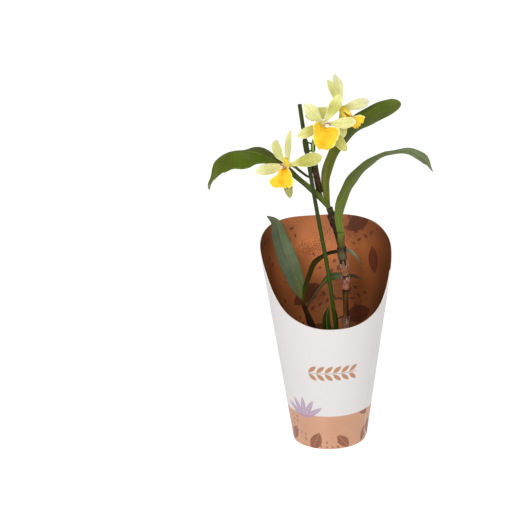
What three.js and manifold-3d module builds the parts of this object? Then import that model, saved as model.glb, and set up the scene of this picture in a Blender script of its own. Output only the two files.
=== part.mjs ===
// Mini cattleya orchid with three blooms, in its grow pot and a conical carton sleeve.
// Units are millimetres. +Z is up, +X is the viewer's right, -Y is the front.
// The origin is the centre of the sleeve's underside, on the surface the plant stands on.

import * as THREE from "three";
import { mergeVertices } from "three/addons/utils/BufferGeometryUtils.js";
import Module from "manifold-3d";

const wasm = await Module();
wasm.setup();

// ---- driving dimensions ------------------------------------------------------------------

const GAP = 0.35; // clearance between pieces that touch

const BOARD = 0.8; // carton thickness
const SLEEVE_R = 44.8; // outer radius of the sleeve at the ground
const SLEEVE_SLOPE = 0.1443; // growth of that radius per mm of height
const BAND_HEIGHT = 45.5; // top of the printed band
const RIM_TURN = 8; // degrees the rim's low point is turned to the right of the front
const SEAM_START = 62; // degrees to the right of the front where the inner layer begins
const SEAM_LAP = 24; // degrees of overlap
const FLAP_FOOT = 14; // height at which the outer layer's free corner starts
const BASE_THICKNESS = 1.2;

const POT_FOOT = BASE_THICKNESS + GAP; // height of the pot's underside
const POT_BASE_R = 42.6;
const POT_BODY_TOP = 96;
const POT_TOP = 107;
const POT_WALL = 1.4;
const POT_RIM_R = 57.6;
const POT_STEP = 2.2; // how far the rim stands out from the pot's body
const POT_FLOOR = 2;
const DRAIN_HOLES = 6;
const DRAIN_HOLE_R = 4;
const DRAIN_CIRCLE_R = 30;
const BARK_TOP = 99;
const SOCKET_DEPTH = 6; // how deep the stick's socket goes into the bark

const SIDES = 36; // facets of the round carton, pot and bark
const STAKE_R = 2.45;
const STEM_R = 1.6;
const RHIZOME_R = 3.6;
const LEAF_THICKNESS = 1.5;
const TEPAL_THICKNESS = 0.8;

// ---- finishes ----------------------------------------------------------------------------

const finish = (color, roughness, metalness = 0) =>
  new THREE.MeshStandardMaterial({ color, roughness, metalness });

const WHITE_CARTON = finish(0xebe8e8, 0.6);
const BLACK_PLASTIC = finish(0x2b2724, 0.5);
const BARK = finish(0x4c3324, 0.95);
const STICK_GREEN = finish(0x3a6a30, 0.45);
const CLIP_GREEN = finish(0x1f3b22, 0.4);
const RHIZOME_BROWN = finish(0x5a4a2c, 0.8);
const CANE_GREEN = finish(0x6f8a35, 0.5);
const CANE_BROWN = finish(0x3f2a20, 0.7);
const DRY_SHEATH = finish(0xa88972, 0.6);
const DARK_SHEATH = finish(0x5a3a2a, 0.75);
const LEAF_GREEN = finish(0x4a6b2a, 0.45);
const BLUE_LEAF = finish(0x56704f, 0.5);
const TEPAL = finish(0xdfe2a0, 0.55);
const LIP_YELLOW = finish(0xfbc82a, 0.6);
const COLUMN_CREAM = finish(0xf2dfc0, 0.5);

const plant = new THREE.Group();

function add(name, geometry, material) {
  const mesh = new THREE.Mesh(geometry, material);
  mesh.name = name;
  plant.add(mesh);
}

// ---- closed solids -----------------------------------------------------------------------

const vector = (p) => new THREE.Vector3(...p);

/**
 * Closed solid through a row of equal loops of points. A round section is closed by a fan about
 * its middle, and a thin sheet, whose loop goes out on one side and back on the other, by a strip.
 */
function loft(loops, isSheet = false) {
  const count = loops[0].length;
  const positions = loops.flat().flatMap((p) => [p.x, p.y, p.z]);
  const faces = [];
  for (let i = 0; i + 1 < loops.length; i++) {
    for (let k = 0; k < count; k++) {
      const a = i * count + k;
      const b = i * count + ((k + 1) % count);
      faces.push(a, b, b + count, a, b + count, a + count);
    }
  }
  for (const [i, order] of [[0, -1], [loops.length - 1, 1]]) {
    if (isSheet) {
      for (let k = 0; k + 1 < count / 2; k++) {
        const [a, b, c, d] = [k, k + 1, count - 2 - k, count - 1 - k].map((n) => i * count + n);
        faces.push(...(order > 0 ? [a, b, c, a, c, d] : [b, a, c, c, a, d]));
      }
      continue;
    }
    const hub = positions.length / 3;
    const middle = new THREE.Vector3();
    loops[i].forEach((p) => middle.addScaledVector(p, 1 / count));
    positions.push(middle.x, middle.y, middle.z);
    for (let k = 0; k < count; k++) {
      const a = i * count + k;
      const b = i * count + ((k + 1) % count);
      faces.push(...(order > 0 ? [a, b, hub] : [b, a, hub]));
    }
  }
  return outward(positions, faces);
}

/** Geometry from points and faces, turned so that its faces point out. */
function outward(positions, faces) {
  const corner = (n) => new THREE.Vector3().fromArray(positions, n * 3);
  let volume = 0;
  for (let i = 0; i < faces.length; i += 3) {
    const [a, b, c] = [corner(faces[i]), corner(faces[i + 1]), corner(faces[i + 2])];
    volume += a.dot(b.cross(c));
  }
  const turned = [];
  for (let i = 0; i < faces.length; i += 3) {
    const [a, b, c] = faces.slice(i, i + 3);
    turned.push(...(volume > 0 ? [a, b, c] : [a, c, b]));
  }
  const geometry = new THREE.BufferGeometry();
  geometry.setAttribute("position", new THREE.Float32BufferAttribute(positions, 3));
  geometry.setIndex(turned);
  return geometry;
}

/** Value at t (0..1) of a row of evenly spaced values, eased between them. */
function along(values, t) {
  const place = t * (values.length - 1);
  const i = Math.min(Math.floor(place), values.length - 2);
  const f = place - i;
  return THREE.MathUtils.lerp(values[i], values[i + 1], f * f * (3 - 2 * f));
}

/** Round stem along a smooth curve, its radius eased along a row of values. */
function stem(points, radii, steps, sides = 8) {
  const curve = new THREE.CatmullRomCurve3(points.map(vector), false, "centripetal");
  const frames = curve.computeFrenetFrames(steps, false);
  const loops = [];
  for (let i = 0; i <= steps; i++) {
    const centre = curve.getPointAt(i / steps);
    const radius = along(radii, i / steps);
    const loop = [];
    for (let k = 0; k < sides; k++) {
      const turn = (k / sides) * Math.PI * 2;
      loop.push(centre.clone()
        .addScaledVector(frames.normals[i], Math.cos(turn) * radius)
        .addScaledVector(frames.binormals[i], Math.sin(turn) * radius));
    }
    loops.push(loop);
  }
  return loft(loops);
}

/**
 * Leaf or petal: a spine with half widths, a roll about the spine and a fold of its two
 * halves, all in degrees and eased along it. `face` is where its upper side looks at roll 0.
 */
function blade({ spine, widths, rolls, folds, face, thickness, steps, across = [-1, -0.55, 0, 0.55, 1] }) {
  const curve = new THREE.CatmullRomCurve3(spine.map(vector), false, "centripetal");
  const loops = [];
  for (let i = 0; i <= steps; i++) {
    const t = i / steps;
    const centre = curve.getPointAt(t);
    const tangent = curve.getTangentAt(t);
    const side = tangent.clone().cross(face).normalize();
    const upper = side.clone().cross(tangent);
    const roll = THREE.MathUtils.degToRad(along(rolls, t));
    const fold = THREE.MathUtils.degToRad(along(folds, t));
    const width = along(widths, t);
    const out = side.clone().multiplyScalar(Math.cos(roll)).addScaledVector(upper, Math.sin(roll));
    const up = upper.clone().multiplyScalar(Math.cos(roll)).addScaledVector(side, -Math.sin(roll));
    const half = Math.min(thickness / 2, width * 0.6);
    const row = (lift, order) => order.map((v) => centre.clone()
      .addScaledVector(out, width * v * Math.cos(fold))
      .addScaledVector(up, width * Math.abs(v) ** 1.4 * Math.sin(fold) + lift * (1 - 0.5 * v * v)));
    loops.push([...row(half, across), ...row(-half, [...across].reverse())]);
  }
  return loft(loops, true);
}

/** Solid turned about Z from a closed profile of [radius, height] corners. */
function turned(profile, sides) {
  const corners = profile.map(([r, z]) => new THREE.Vector2(r, z));
  const lathe = new THREE.LatheGeometry([...corners, corners[0]], sides);
  lathe.rotateX(Math.PI / 2);
  const merged = weld(lathe);
  return outward(Array.from(merged.attributes.position.array), Array.from(merged.index.array));
}

function weld(geometry) {
  const bare = geometry.clone();
  bare.deleteAttribute("normal");
  bare.deleteAttribute("uv");
  const merged = mergeVertices(bare, 1e-3);
  const index = Array.from(merged.index.array);
  const kept = [];
  for (let i = 0; i < index.length; i += 3) {
    const [a, b, c] = index.slice(i, i + 3);
    if (a !== b && b !== c && c !== a) kept.push(a, b, c);
  }
  merged.setIndex(kept);
  return merged;
}

function solid(geometry) {
  const merged = weld(geometry);
  return new wasm.Manifold(new wasm.Mesh({
    numProp: 3,
    vertProperties: Float32Array.from(merged.attributes.position.array),
    triVerts: Uint32Array.from(merged.index.array),
  }));
}

function fromSolid(shape) {
  const mesh = shape.getMesh();
  const geometry = new THREE.BufferGeometry();
  geometry.setAttribute("position", new THREE.BufferAttribute(mesh.vertProperties, 3));
  geometry.setIndex(new THREE.BufferAttribute(mesh.triVerts, 1));
  return geometry;
}

/** Round bar between two points, as a solid for joining and cutting. */
function bar(from, to, radius, sides = 12) {
  const [a, b] = [vector(from), vector(to)];
  const geometry = new THREE.CylinderGeometry(radius, radius, a.distanceTo(b), sides);
  const turn = new THREE.Quaternion().setFromUnitVectors(
    new THREE.Vector3(0, 1, 0), b.clone().sub(a).normalize());
  geometry.applyQuaternion(turn);
  const middle = a.add(b).multiplyScalar(0.5);
  geometry.translate(middle.x, middle.y, middle.z);
  return solid(geometry);
}

// ---- carton sleeve -----------------------------------------------------------------------

const sleeveRadius = (z) => SLEEVE_R + SLEEVE_SLOPE * z;

// Rim height by the angle from the rim's low point, alike on both sides.
const RIM_ANGLES = [0, 20, 40, 55, 70, 82, 95, 110, 128, 150, 180];
const RIM_HEIGHTS = [162.5, 164, 171, 181, 200, 222, 240, 250, 257.5, 260.5, 259.5];

function rimHeight(angle) {
  const turn = Math.abs(((angle - RIM_TURN + 540) % 360) - 180);
  let i = 0;
  while (RIM_ANGLES[i + 1] < turn) i++;
  const f = (turn - RIM_ANGLES[i]) / (RIM_ANGLES[i + 1] - RIM_ANGLES[i]);
  return THREE.MathUtils.lerp(RIM_HEIGHTS[i], RIM_HEIGHTS[i + 1], f);
}

/** Point at an angle in degrees to the right of the front. */
function around(angle, radius, z) {
  const turn = THREE.MathUtils.degToRad(angle);
  return new THREE.Vector3(Math.sin(turn) * radius, -Math.cos(turn) * radius, z);
}

function cartonSleeve() {
  const STEP = 6;
  const LIFT = BOARD + GAP; // the outer layer stands this far off the inner one
  const RAMP = 30; // degrees over which it rises to that
  const total = 360 + SEAM_LAP;
  const loops = [];
  // The sheet runs from the inner layer's end round the back and over it again.
  for (let run = 0; run <= total; run += STEP) {
    const angle = SEAM_START + SEAM_LAP - run;
    const rise = THREE.MathUtils.smoothstep(run, 360 - RAMP, 360 - 2) * LIFT;
    const foot = run > 360 ? THREE.MathUtils.lerp(0, FLAP_FOOT, (run - 360) / SEAM_LAP) : 0;
    const levels = [foot, BAND_HEIGHT, rimHeight(angle)];
    const outer = levels.map((z) => around(angle, sleeveRadius(z) + rise, z));
    const inner = levels.map((z) => around(angle, sleeveRadius(z) + rise - BOARD, z));
    loops.push([...outer, ...inner.reverse()]);
  }
  return loft(loops, true);
}

add("carton_sleeve", cartonSleeve(), WHITE_CARTON);

const baseRadius = (z) => sleeveRadius(z) - BOARD - GAP;
add("sleeve_base", turned([
  [0, 0], [baseRadius(0), 0], [baseRadius(BASE_THICKNESS), BASE_THICKNESS], [0, BASE_THICKNESS],
], SIDES), WHITE_CARTON);

// ---- grow pot and bark -------------------------------------------------------------------

const potRadius = (z) =>
  THREE.MathUtils.mapLinear(z, POT_FOOT, POT_BODY_TOP, POT_BASE_R, POT_RIM_R - POT_STEP);

function growPot() {
  const floor = POT_FOOT + POT_FLOOR;
  let pot = solid(turned([
    [0, POT_FOOT], [potRadius(POT_FOOT), POT_FOOT], [potRadius(POT_BODY_TOP), POT_BODY_TOP],
    [POT_RIM_R, POT_BODY_TOP + 0.6], [POT_RIM_R, POT_TOP], [POT_RIM_R - POT_WALL, POT_TOP],
    [POT_RIM_R - POT_WALL, POT_BODY_TOP + 2], [potRadius(POT_BODY_TOP) - POT_WALL, POT_BODY_TOP],
    [potRadius(floor) - POT_WALL, floor], [0, floor],
  ], SIDES));
  for (let i = 0; i < DRAIN_HOLES; i++) {
    const [x, y] = around((i + 0.5) * (360 / DRAIN_HOLES), DRAIN_CIRCLE_R, 0).toArray();
    pot = pot.subtract(bar([x, y, 0], [x, y, floor + 1], DRAIN_HOLE_R, 8));
  }
  return fromSolid(pot);
}

add("grow_pot", growPot(), BLACK_PLASTIC);

// The stick leans: it stands in the bark and runs up through the clip.
const STAKE_FOOT = [16.2, -12, 95];
const STAKE_LINE = [STAKE_FOOT, [9.9, -12, 144.3], [2.0, -12, 211.7], [-13.4, -12, 309.6],
  [-22.2, -12, 372], [-28.3, -12, 419.4]];

function barkBed() {
  const floor = POT_FOOT + POT_FLOOR + GAP;
  const inside = (z) => potRadius(z) - POT_WALL - GAP;
  const bed = solid(turned([
    [0, floor], [inside(floor), floor], [inside(POT_BODY_TOP - 1), POT_BODY_TOP - 1],
    [inside(POT_BODY_TOP - 1) - 2, BARK_TOP - 1], [0, BARK_TOP],
  ], SIDES));
  const socket = bar(
    [STAKE_FOOT[0] + 0.4, STAKE_FOOT[1], STAKE_FOOT[2] - GAP],
    [STAKE_FOOT[0] - 1, STAKE_FOOT[1], BARK_TOP + SOCKET_DEPTH],
    STAKE_R + 2 * GAP);
  return fromSolid(bed.subtract(socket));
}

add("bark_bed", barkBed(), BARK);

// ---- stick and clip ----------------------------------------------------------------------

add("stake", stem(STAKE_LINE, [STAKE_R, STAKE_R], 9, 10), STICK_GREEN);

// The flower stem starts at the back cane's top and leans over to the stick.
const FLOWER_STEM_LINE = [[-4.2, 6.6, 302.5], [-7.1, 4, 312.4], [-9.8, 0, 328.2], [-12.7, -5, 346.5],
  [-13.9, -8.4, 361], [-13.2, -9.7, 375.3], [-10.5, -7.4, 385.4], [-7.5, -4.6, 391]];

/** Twin ring clip: one ring on the stick, one on the flower stem, and two arms between them. */
function stemClip() {
  const stickLow = [-20.6, -12, 361.6];
  const stickHigh = [-23.0, -12, 377.2];
  const stemLow = [-13.8, -8.5, 362.2];
  const stemHigh = [-13.35, -9.5, 373.4];
  const middle = (a, b, f) => a.map((value, i) => value + (b[i] - value) * f);
  const grip = bar(stickLow, stickHigh, STAKE_R + GAP + 1)
    .add(bar(middle(stickLow, stickHigh, 0.25), middle(stickLow, stickHigh, 0.75), STAKE_R + GAP + 1.6))
    .add(bar(stemLow, stemHigh, STEM_R + GAP + 1.3));
  const arms = [0.12, 0.84].map((f) =>
    bar(middle(stickLow, stickHigh, f), middle(stemLow, stemHigh, f), 1, 8));
  const reach = (a, b, f) => [middle(a, b, -f), middle(a, b, 1 + f)];
  const clip = grip.add(arms[0]).add(arms[1])
    .subtract(bar(...reach(stickLow, stickHigh, 0.4), STAKE_R + GAP))
    .subtract(bar(...reach(stemLow, stemHigh, 0.4), STEM_R + 2 * GAP));
  return fromSolid(clip);
}

add("stem_clip", stemClip(), CLIP_GREEN);

// ---- canes and sheaths -------------------------------------------------------------------

const RHIZOME_Z = BARK_TOP + RHIZOME_R + GAP;
const CANE_FOOT = RHIZOME_Z + RHIZOME_R + GAP;
const FRONT_CANE_LINE = [[22.4, -1, CANE_FOOT], [22.6, -2, 140.4], [21.5, -2, 155.9], [22.4, -2.5, 190.5],
  [22.0, -3, 208.3], [18.9, -3.5, 228.7], [17.7, -4, 246.3], [17.1, -4, 262]];
const BACK_CANE_LINE = [[22.8, 15, CANE_FOOT], [22.6, 16, 149.4], [20.8, 15, 202.4], [16.9, 13, 239.8],
  [11.7, 10.5, 262], [8.0, 9.5, 276.2], [4.2, 8.2, 289]];
const LEFT_CANE_LINE = [[-14.5, 5, CANE_FOOT], [-19.2, 4, 138.9], [-23.8, 3, 154.8], [-28.1, 2, 168.1],
  [-29.3, 1.2, 176.9]];

add("rhizome", stem([[-20, 6, RHIZOME_Z], [-13, 5.5, RHIZOME_Z], [2, 8, RHIZOME_Z + 0.2],
  [14, 4, RHIZOME_Z], [22, 1, RHIZOME_Z], [25, 9, RHIZOME_Z], [23, 18, RHIZOME_Z]],
[RHIZOME_R * 0.8, RHIZOME_R, RHIZOME_R * 0.85, RHIZOME_R, RHIZOME_R * 0.85, RHIZOME_R, RHIZOME_R * 0.8],
14), RHIZOME_BROWN);
add("front_cane", stem(FRONT_CANE_LINE, [3.4, 2.9, 3.0, 2.7, 2.9, 3.2, 3.6, 4.2, 4.3], 14), CANE_GREEN);
add("back_cane", stem(BACK_CANE_LINE, [3.6, 3.3, 3.3, 3.4, 3.6, 3.8, 4.0], 14), CANE_BROWN);
add("left_cane", stem(LEFT_CANE_LINE, [4.6, 5.2, 4.6, 3.0, 2.6], 9), CANE_BROWN);

/** Papery sleeve round a cane: a ring section carried between two heights of its line. */
function sheath(line, low, high, inner, wall) {
  const curve = new THREE.CatmullRomCurve3(line.map(vector), false, "centripetal");
  const at = (z) => {
    let [a, b] = [0, 1];
    for (let i = 0; i < 40; i++) {
      const m = (a + b) / 2;
      if (curve.getPointAt(m).z < z) a = m;
      else b = m;
    }
    return curve.getPointAt(a);
  };
  const path = new THREE.CatmullRomCurve3([at(low), at((low + high) / 2), at(high)]);
  const ring = new THREE.Shape().absarc(0, 0, inner + wall, 0, Math.PI * 2);
  ring.holes.push(new THREE.Path().absarc(0, 0, inner, 0, Math.PI * 2));
  return weld(new THREE.ExtrudeGeometry(ring, { steps: 3, curveSegments: 5, extrudePath: path }));
}

// Each sheath: lowest and highest point, inner radius, wall.
const FRONT_SHEATHS = [
  [229.5, 244.0, 4.8, 0.9],
  [209.0, 228.5, 4.4, 0.7],
  [191.0, 207.5, 3.9, 0.7],
  [124.0, 155.5, 4.0, 0.7],
];
FRONT_SHEATHS.forEach(([low, high, inner, wall], i) =>
  add(`front_cane_sheath_${i + 1}`, sheath(FRONT_CANE_LINE, low, high, inner, wall), DRY_SHEATH));
add("back_cane_sheath", sheath(BACK_CANE_LINE, 266, 283, 4.7, 0.7), DARK_SHEATH);

add("flower_stem", stem(FLOWER_STEM_LINE, [STEM_R, STEM_R, STEM_R], 12, 8), CANE_GREEN);
add("flower_sheath", sheath(FLOWER_STEM_LINE, 310, 347.5, STEM_R + 2 * GAP, 0.8), DARK_SHEATH);

// ---- leaves ------------------------------------------------------------------------------

const FRONT = new THREE.Vector3(0, -1, 0);

// Spine points, half widths, rolls and folds, each evenly spaced from the foot to the tip.
const LEAVES = {
  leaf_upper_left: {
    spine: [[3.5, 5, 289.5], [-11.4, -1, 307.5], [-18.6, -1, 314.5], [-35, 2, 329.4],
      [-48.4, 5, 341.7], [-76.2, 9, 356.4], [-97.5, 11, 356.9], [-114.4, 11, 355.1], [-128, 10, 346.8],
      [-137.8, 9, 328.2], [-138.7, 8, 314.6]],
    widths: [3.4, 4.5, 4.7, 3.9, 5.2, 13.9, 18.8, 19.3, 17.5, 10.3, 1.1],
    rolls: [-35, -45, -52, -56, -56, -56, -54, -54, -54, -56, -56],
    folds: [35, 30, 18, 2, -22, -34, -34, -20],
    steps: 20,
  },
  leaf_upper_right: {
    spine: [[3.1, 10.1, 290], [1.3, 9, 308.8], [1.3, 10, 323.4], [4.1, 12, 335.5], [9.1, 15, 347.6],
      [21.1, 21, 366.5], [39.8, 30, 384.1], [67.4, 37, 398.3], [91.2, 42, 407.2]],
    widths: [3.4, 5.1, 7.2, 9.4, 11.6, 15.2, 18.1, 15.5, 2.4],
    rolls: [15, 20, 35, 52, 62, 65, 65, 65, 62],
    folds: [30, 25, 20, 15, 12, 10, 10],
    steps: 16,
  },
  leaf_arching: {
    spine: [[16.8, -4, 262.6], [15.7, -4, 283.2], [22, -3, 306.7], [34.4, 2, 328.1], [54.4, 9, 344.7],
      [79.2, 17, 352.3], [99.2, 23, 351.6], [114.1, 27, 343.7], [128.3, 30, 325.2]],
    widths: [4.4, 5.9, 8.7, 8.7, 7.6, 5.6, 5.6, 5.6, 0.6],
    rolls: [15, 30, 52, 62, 66, 72, 62, 52, 50],
    folds: [20, 15, 8, 6, 5, 4, 4, 4],
    steps: 18,
  },
  leaf_broad: {
    spine: [[-30.9, 3, 177.6], [-37.1, 9, 200], [-46.6, 13, 226], [-53.2, 17, 246],
      [-60.7, 20, 269], [-70.6, 22, 276.2]],
    widths: [2.4, 10.5, 12.8, 13, 11.2, 8, 0.8],
    rolls: [10, 0, -8, -10, -15],
    folds: [25, 15, 8, 5, 0],
    steps: 12,
  },
  leaf_narrow: {
    spine: [[-28, -1.5, 177.6], [-25.4, -2, 193], [-20.1, 2, 206.4], [-14.4, 5, 220.1],
      [-8.3, 8, 225.5], [0, 12, 229.6], [11, 20.5, 230], [25.2, 25, 230.1], [32.3, 26, 225.5],
      [41.8, 28, 211.8]],
    widths: [2.1, 4, 4.8, 5.3, 4.9, 3.4, 3.2, 3.7, 2, 0.5],
    rolls: [50, 55, 58, 62, 66, 74, 74, 50, 45],
    folds: [25, 20, 15, 10, 5],
    steps: 16,
  },
  leaf_thin: {
    spine: [[-25.4, 7.2, 162.6], [-21, 8, 171], [-13.6, 10, 181.3], [-6.2, 13, 191.4], [1.9, 17, 198.6],
      [11, 22, 199], [22, 25, 199], [32.9, 26, 197.3], [43.6, 27, 192.2]],
    widths: [1.6, 1.5, 1.5, 2, 4.4, 4.6, 4, 2.6, 0.5],
    rolls: [50, 50, 30, 20, 20, 45, 62],
    folds: [20, 15, 10, 5, 5],
    steps: 14,
  },
  shoot_leaf_left: {
    spine: [[1.5, 6.5, CANE_FOOT], [1.2, 4, 129], [-1, 3, 142], [-1, 4, 154], [2, 6, 167]],
    widths: [3, 4.6, 5.6, 4.6, 0.5],
    rolls: [10, 10, 10],
    folds: [20, 15, 10],
    steps: 9,
  },
  shoot_leaf_right: {
    spine: [[9.5, 5.5, CANE_FOOT], [10.5, -2, 131], [10.2, -4, 146], [9.4, -4, 160], [7, -3, 172]],
    widths: [2.4, 3, 3.4, 2.8, 0.5],
    rolls: [20, 20, 20],
    folds: [20, 15, 10],
    steps: 9,
  },
};

for (const [name, leaf] of Object.entries(LEAVES)) {
  const material = name === "leaf_broad" ? BLUE_LEAF : LEAF_GREEN;
  add(name, blade({ ...leaf, face: FRONT, thickness: LEAF_THICKNESS }), material);
}

// Dry bracts at two joints of the front cane, each a narrow pointed scale.
const BRACTS = {
  bract_upper: [[18.6, -4.4, 178.5], [14, -6, 180.5], [9.2, -7, 178.5]],
  bract_lower: [[18.9, -4.7, 156.8], [15.2, -7, 156.2], [12, -7.4, 153.6]],
};
for (const [name, spine] of Object.entries(BRACTS)) {
  add(name, blade({
    spine, widths: [1.4, 1.3, 0.4], rolls: [0, 0], folds: [20, 10], face: FRONT, thickness: 0.8, steps: 5,
  }), DARK_SHEATH);
}

// ---- flowers -----------------------------------------------------------------------------

const SEPAL_WIDTHS = [1.5, 2.8, 4.4, 5.7, 6.4, 6.4, 5.6, 4, 1];
const PETAL_WIDTHS = [1.3, 2.2, 3.6, 5.2, 6.5, 7.1, 7, 5.6, 1.6];
const TEPAL_ROOT = 4.2; // radius of the ring on which the petals and sepals stand
const RECEPTACLE_R = 5.4;
const COLUMN_LENGTH = 9;

// Petals and sepals of a bloom: turn from the top of the bloom (to its right), lift out of
// its plane and length. The bloom looks along `facing`, with its top towards `top`.
const BLOOMS = {
  left: {
    centre: [-43.7, -24, 350], facing: [-0.587, -0.798, 0.135], top: [0.236, -0.009, 0.972],
    dorsal_sepal: [-6.7, 4.2, 41.7], petal_a: [-61.6, -15.1, 39.6], petal_b: [58.3, -23.7, 42.3],
    lateral_sepal_a: [-118, 12, 42.4], lateral_sepal_b: [155, 2, 37.6],
    lipYaw: 10, lipRoll: 4, lipScale: 0.88,
    lobes: [{ width: 7, bend: 75, shoulder: 9 }, { width: 19, bend: 120, shoulder: 12 }],
    pedicel: [[-28, -8, 338], [-20.5, -4.6, 331.5], [-14.5, -1.5, 329.4]],
  },
  centre: {
    centre: [-0.2, -18, 397.2], facing: [0.467, -0.884, -0.025], top: [0.332, 0.149, 0.932],
    dorsal_sepal: [-1.2, 14, 39], petal_a: [-63.8, 8.8, 39.8], petal_b: [70.9, 4.3, 40.2],
    lateral_sepal_a: [-125.2, 6, 38.8], lateral_sepal_b: [121.2, 6, 44.1],
    lipYaw: -12, lipRoll: 12, lipScale: 1,
    lobes: [{ width: 12, bend: 75, shoulder: 16.5 }, { width: 12, bend: 75, shoulder: 16 }],
    pedicel: [[-8.6, -4.5, 396.6], [-8.4, -4.2, 394.5], [-7.6, -4.5, 392.4]],
  },
  back: {
    centre: [19.5, 12, 408.5], facing: [0.647, -0.74, 0.187], top: [-0.529, -0.258, 0.808],
    dorsal_sepal: [6, 7.5, 41.2], petal_a: [-59.1, -22, 44.5], petal_b: [44.3, -14.8, 41.5],
    lateral_sepal_a: [-131.5, 10, 35.4], lateral_sepal_b: [122.6, 5, 42.6],
    lipYaw: 5, lipRoll: 0, lipScale: 0.95,
    lobes: [{ width: 17, bend: 120, shoulder: 11 }, { width: 14, bend: 110, shoulder: 10 }],
    pedicel: [[8, 22, 401], [1, 12, 394], [-5.9, -3.0, 389.6]],
  },
};

/**
 * Lip: a sheet that starts below the column and bends down in front of it. Its cross-section is
 * an arc: two side lobes curl up beside the column, each with a half width and a bend of its own,
 * and after a waist the sheet flares into the middle lobe.
 */
function lip({ lipYaw, lipRoll, lipScale, lobes }) {
  const LINE = [[0, -3.7, 1.4], [0, -5, 6], [0, -8.4, 10], [0, -13.5, 12], [0, -20, 12], [0, -25.5, 9]];
  const sides = lobes.map(({ width, bend, shoulder }) => ({
    widths: [2.6, width, shoulder, 12, 13.5, 11.5, 5], bends: [70, bend, bend * 0.65, 34, 16, 8, 6],
  }));
  const REACH = [0, 2, 5, 2, -1, -2.5, -2.5];
  const ACROSS = [-1, -0.8, -0.55, -0.2, 0.2, 0.55, 0.8, 1];
  const STEPS = 12;
  const curve = new THREE.CatmullRomCurve3(LINE.map(vector), false, "centripetal");
  const turn = new THREE.Matrix4().makeRotationFromEuler(new THREE.Euler(
    0, THREE.MathUtils.degToRad(lipYaw), THREE.MathUtils.degToRad(lipRoll), "ZYX"));
  const root = vector(LINE[0]);
  const loops = [];
  for (let i = 0; i <= STEPS; i++) {
    const t = i / STEPS;
    const centre = curve.getPointAt(t);
    const tangent = curve.getTangentAt(t);
    const normal = tangent.clone().cross(new THREE.Vector3(1, 0, 0)).normalize();
    const row = (lift, order) => order.map((v) => {
      const { widths, bends } = sides[v < 0 ? 0 : 1];
      const bend = THREE.MathUtils.degToRad(along(bends, t));
      const radius = along(widths, t) / bend;
      const point = centre.clone().addScaledVector(tangent, -along(REACH, t) * v * v)
        .add(new THREE.Vector3((radius - lift) * Math.sin(bend * v), 0, 0))
        .addScaledVector(normal, radius - (radius - lift) * Math.cos(bend * v));
      return point.sub(root).applyMatrix4(turn).multiplyScalar(lipScale).add(root);
    });
    const half = TEPAL_THICKNESS / 2;
    loops.push([...row(half, ACROSS), ...row(-half, [...ACROSS].reverse())]);
  }
  return loft(loops, true);
}

function column() {
  return turned([[0, -0.5], [1.8, -0.5], [1.9, 3], [2.5, 6.5], [2.6, COLUMN_LENGTH - 1],
    [1.6, COLUMN_LENGTH], [0, COLUMN_LENGTH]], 12);
}

for (const [name, bloom] of Object.entries(BLOOMS)) {
  const facing = vector(bloom.facing).normalize();
  const top = vector(bloom.top).addScaledVector(facing, -vector(bloom.top).dot(facing)).normalize();
  const right = top.clone().cross(facing);
  const frame = new THREE.Matrix4().makeBasis(right, top, facing).setPosition(vector(bloom.centre));

  for (const piece of ["dorsal_sepal", "petal_a", "petal_b", "lateral_sepal_a", "lateral_sepal_b"]) {
    const [turn, lift, length] = bloom[piece];
    const [a, e] = [THREE.MathUtils.degToRad(turn), THREE.MathUtils.degToRad(lift)];
    const out = new THREE.Vector3(Math.sin(a), Math.cos(a), 0);
    const tip = out.clone().multiplyScalar(Math.cos(e) * length).setZ(Math.sin(e) * length);
    const isPetal = piece.startsWith("petal");
    const at = (f) => out.clone().multiplyScalar(TEPAL_ROOT).lerp(tip, f).setZ(
      tip.z * f + Math.sin(f * Math.PI) * (isPetal ? 2 : 0.8)).toArray();
    const geometry = blade({
      spine: [at(0), at(0.33), at(0.67), at(1)], widths: isPetal ? PETAL_WIDTHS : SEPAL_WIDTHS,
      rolls: [0, 0], folds: [12, 4], face: new THREE.Vector3(0, 0, 1),
      thickness: TEPAL_THICKNESS, steps: 8, across: [-1, 0, 1],
    });
    add(`${name}_${piece}`, geometry.applyMatrix4(frame), TEPAL);
  }

  add(`${name}_lip`, lip(bloom).applyMatrix4(frame), LIP_YELLOW);
  add(`${name}_column`, column().applyMatrix4(frame), COLUMN_CREAM);

  // The pedicel widens into the ovary and a small disc that carries the bloom.
  const disc = turned([[0, -2.4], [RECEPTACLE_R - 1, -2.4], [RECEPTACLE_R, -1.7],
    [RECEPTACLE_R, -1], [0, -1]], 16).applyMatrix4(frame);
  const foot = new THREE.Vector3(0, 0, -1.8).applyMatrix4(frame);
  const neck = new THREE.Vector3(0, 0, -9).applyMatrix4(frame);
  const stalk = stem([foot.toArray(), neck.toArray(), ...bloom.pedicel], [2.6, 2.2, 1.5, 1.3, 1.3], 12, 8);
  add(`${name}_pedicel`, fromSolid(solid(disc).add(solid(stalk))), CANE_GREEN);
}

export default plant;
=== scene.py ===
"""Looks of a potted mini cattleya in a carton sleeve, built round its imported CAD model.

Sizes in the classes are millimetres in the model's own frame: +Z is up, +X is the viewer's
right and -Y is the front. Meshes are written in metres.
"""

import logging
import math
from dataclasses import dataclass, field
from enum import Enum
from functools import cache
from typing import Sequence

import bmesh
import bpy
import numpy as np
from mathutils import Matrix, Vector


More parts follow.
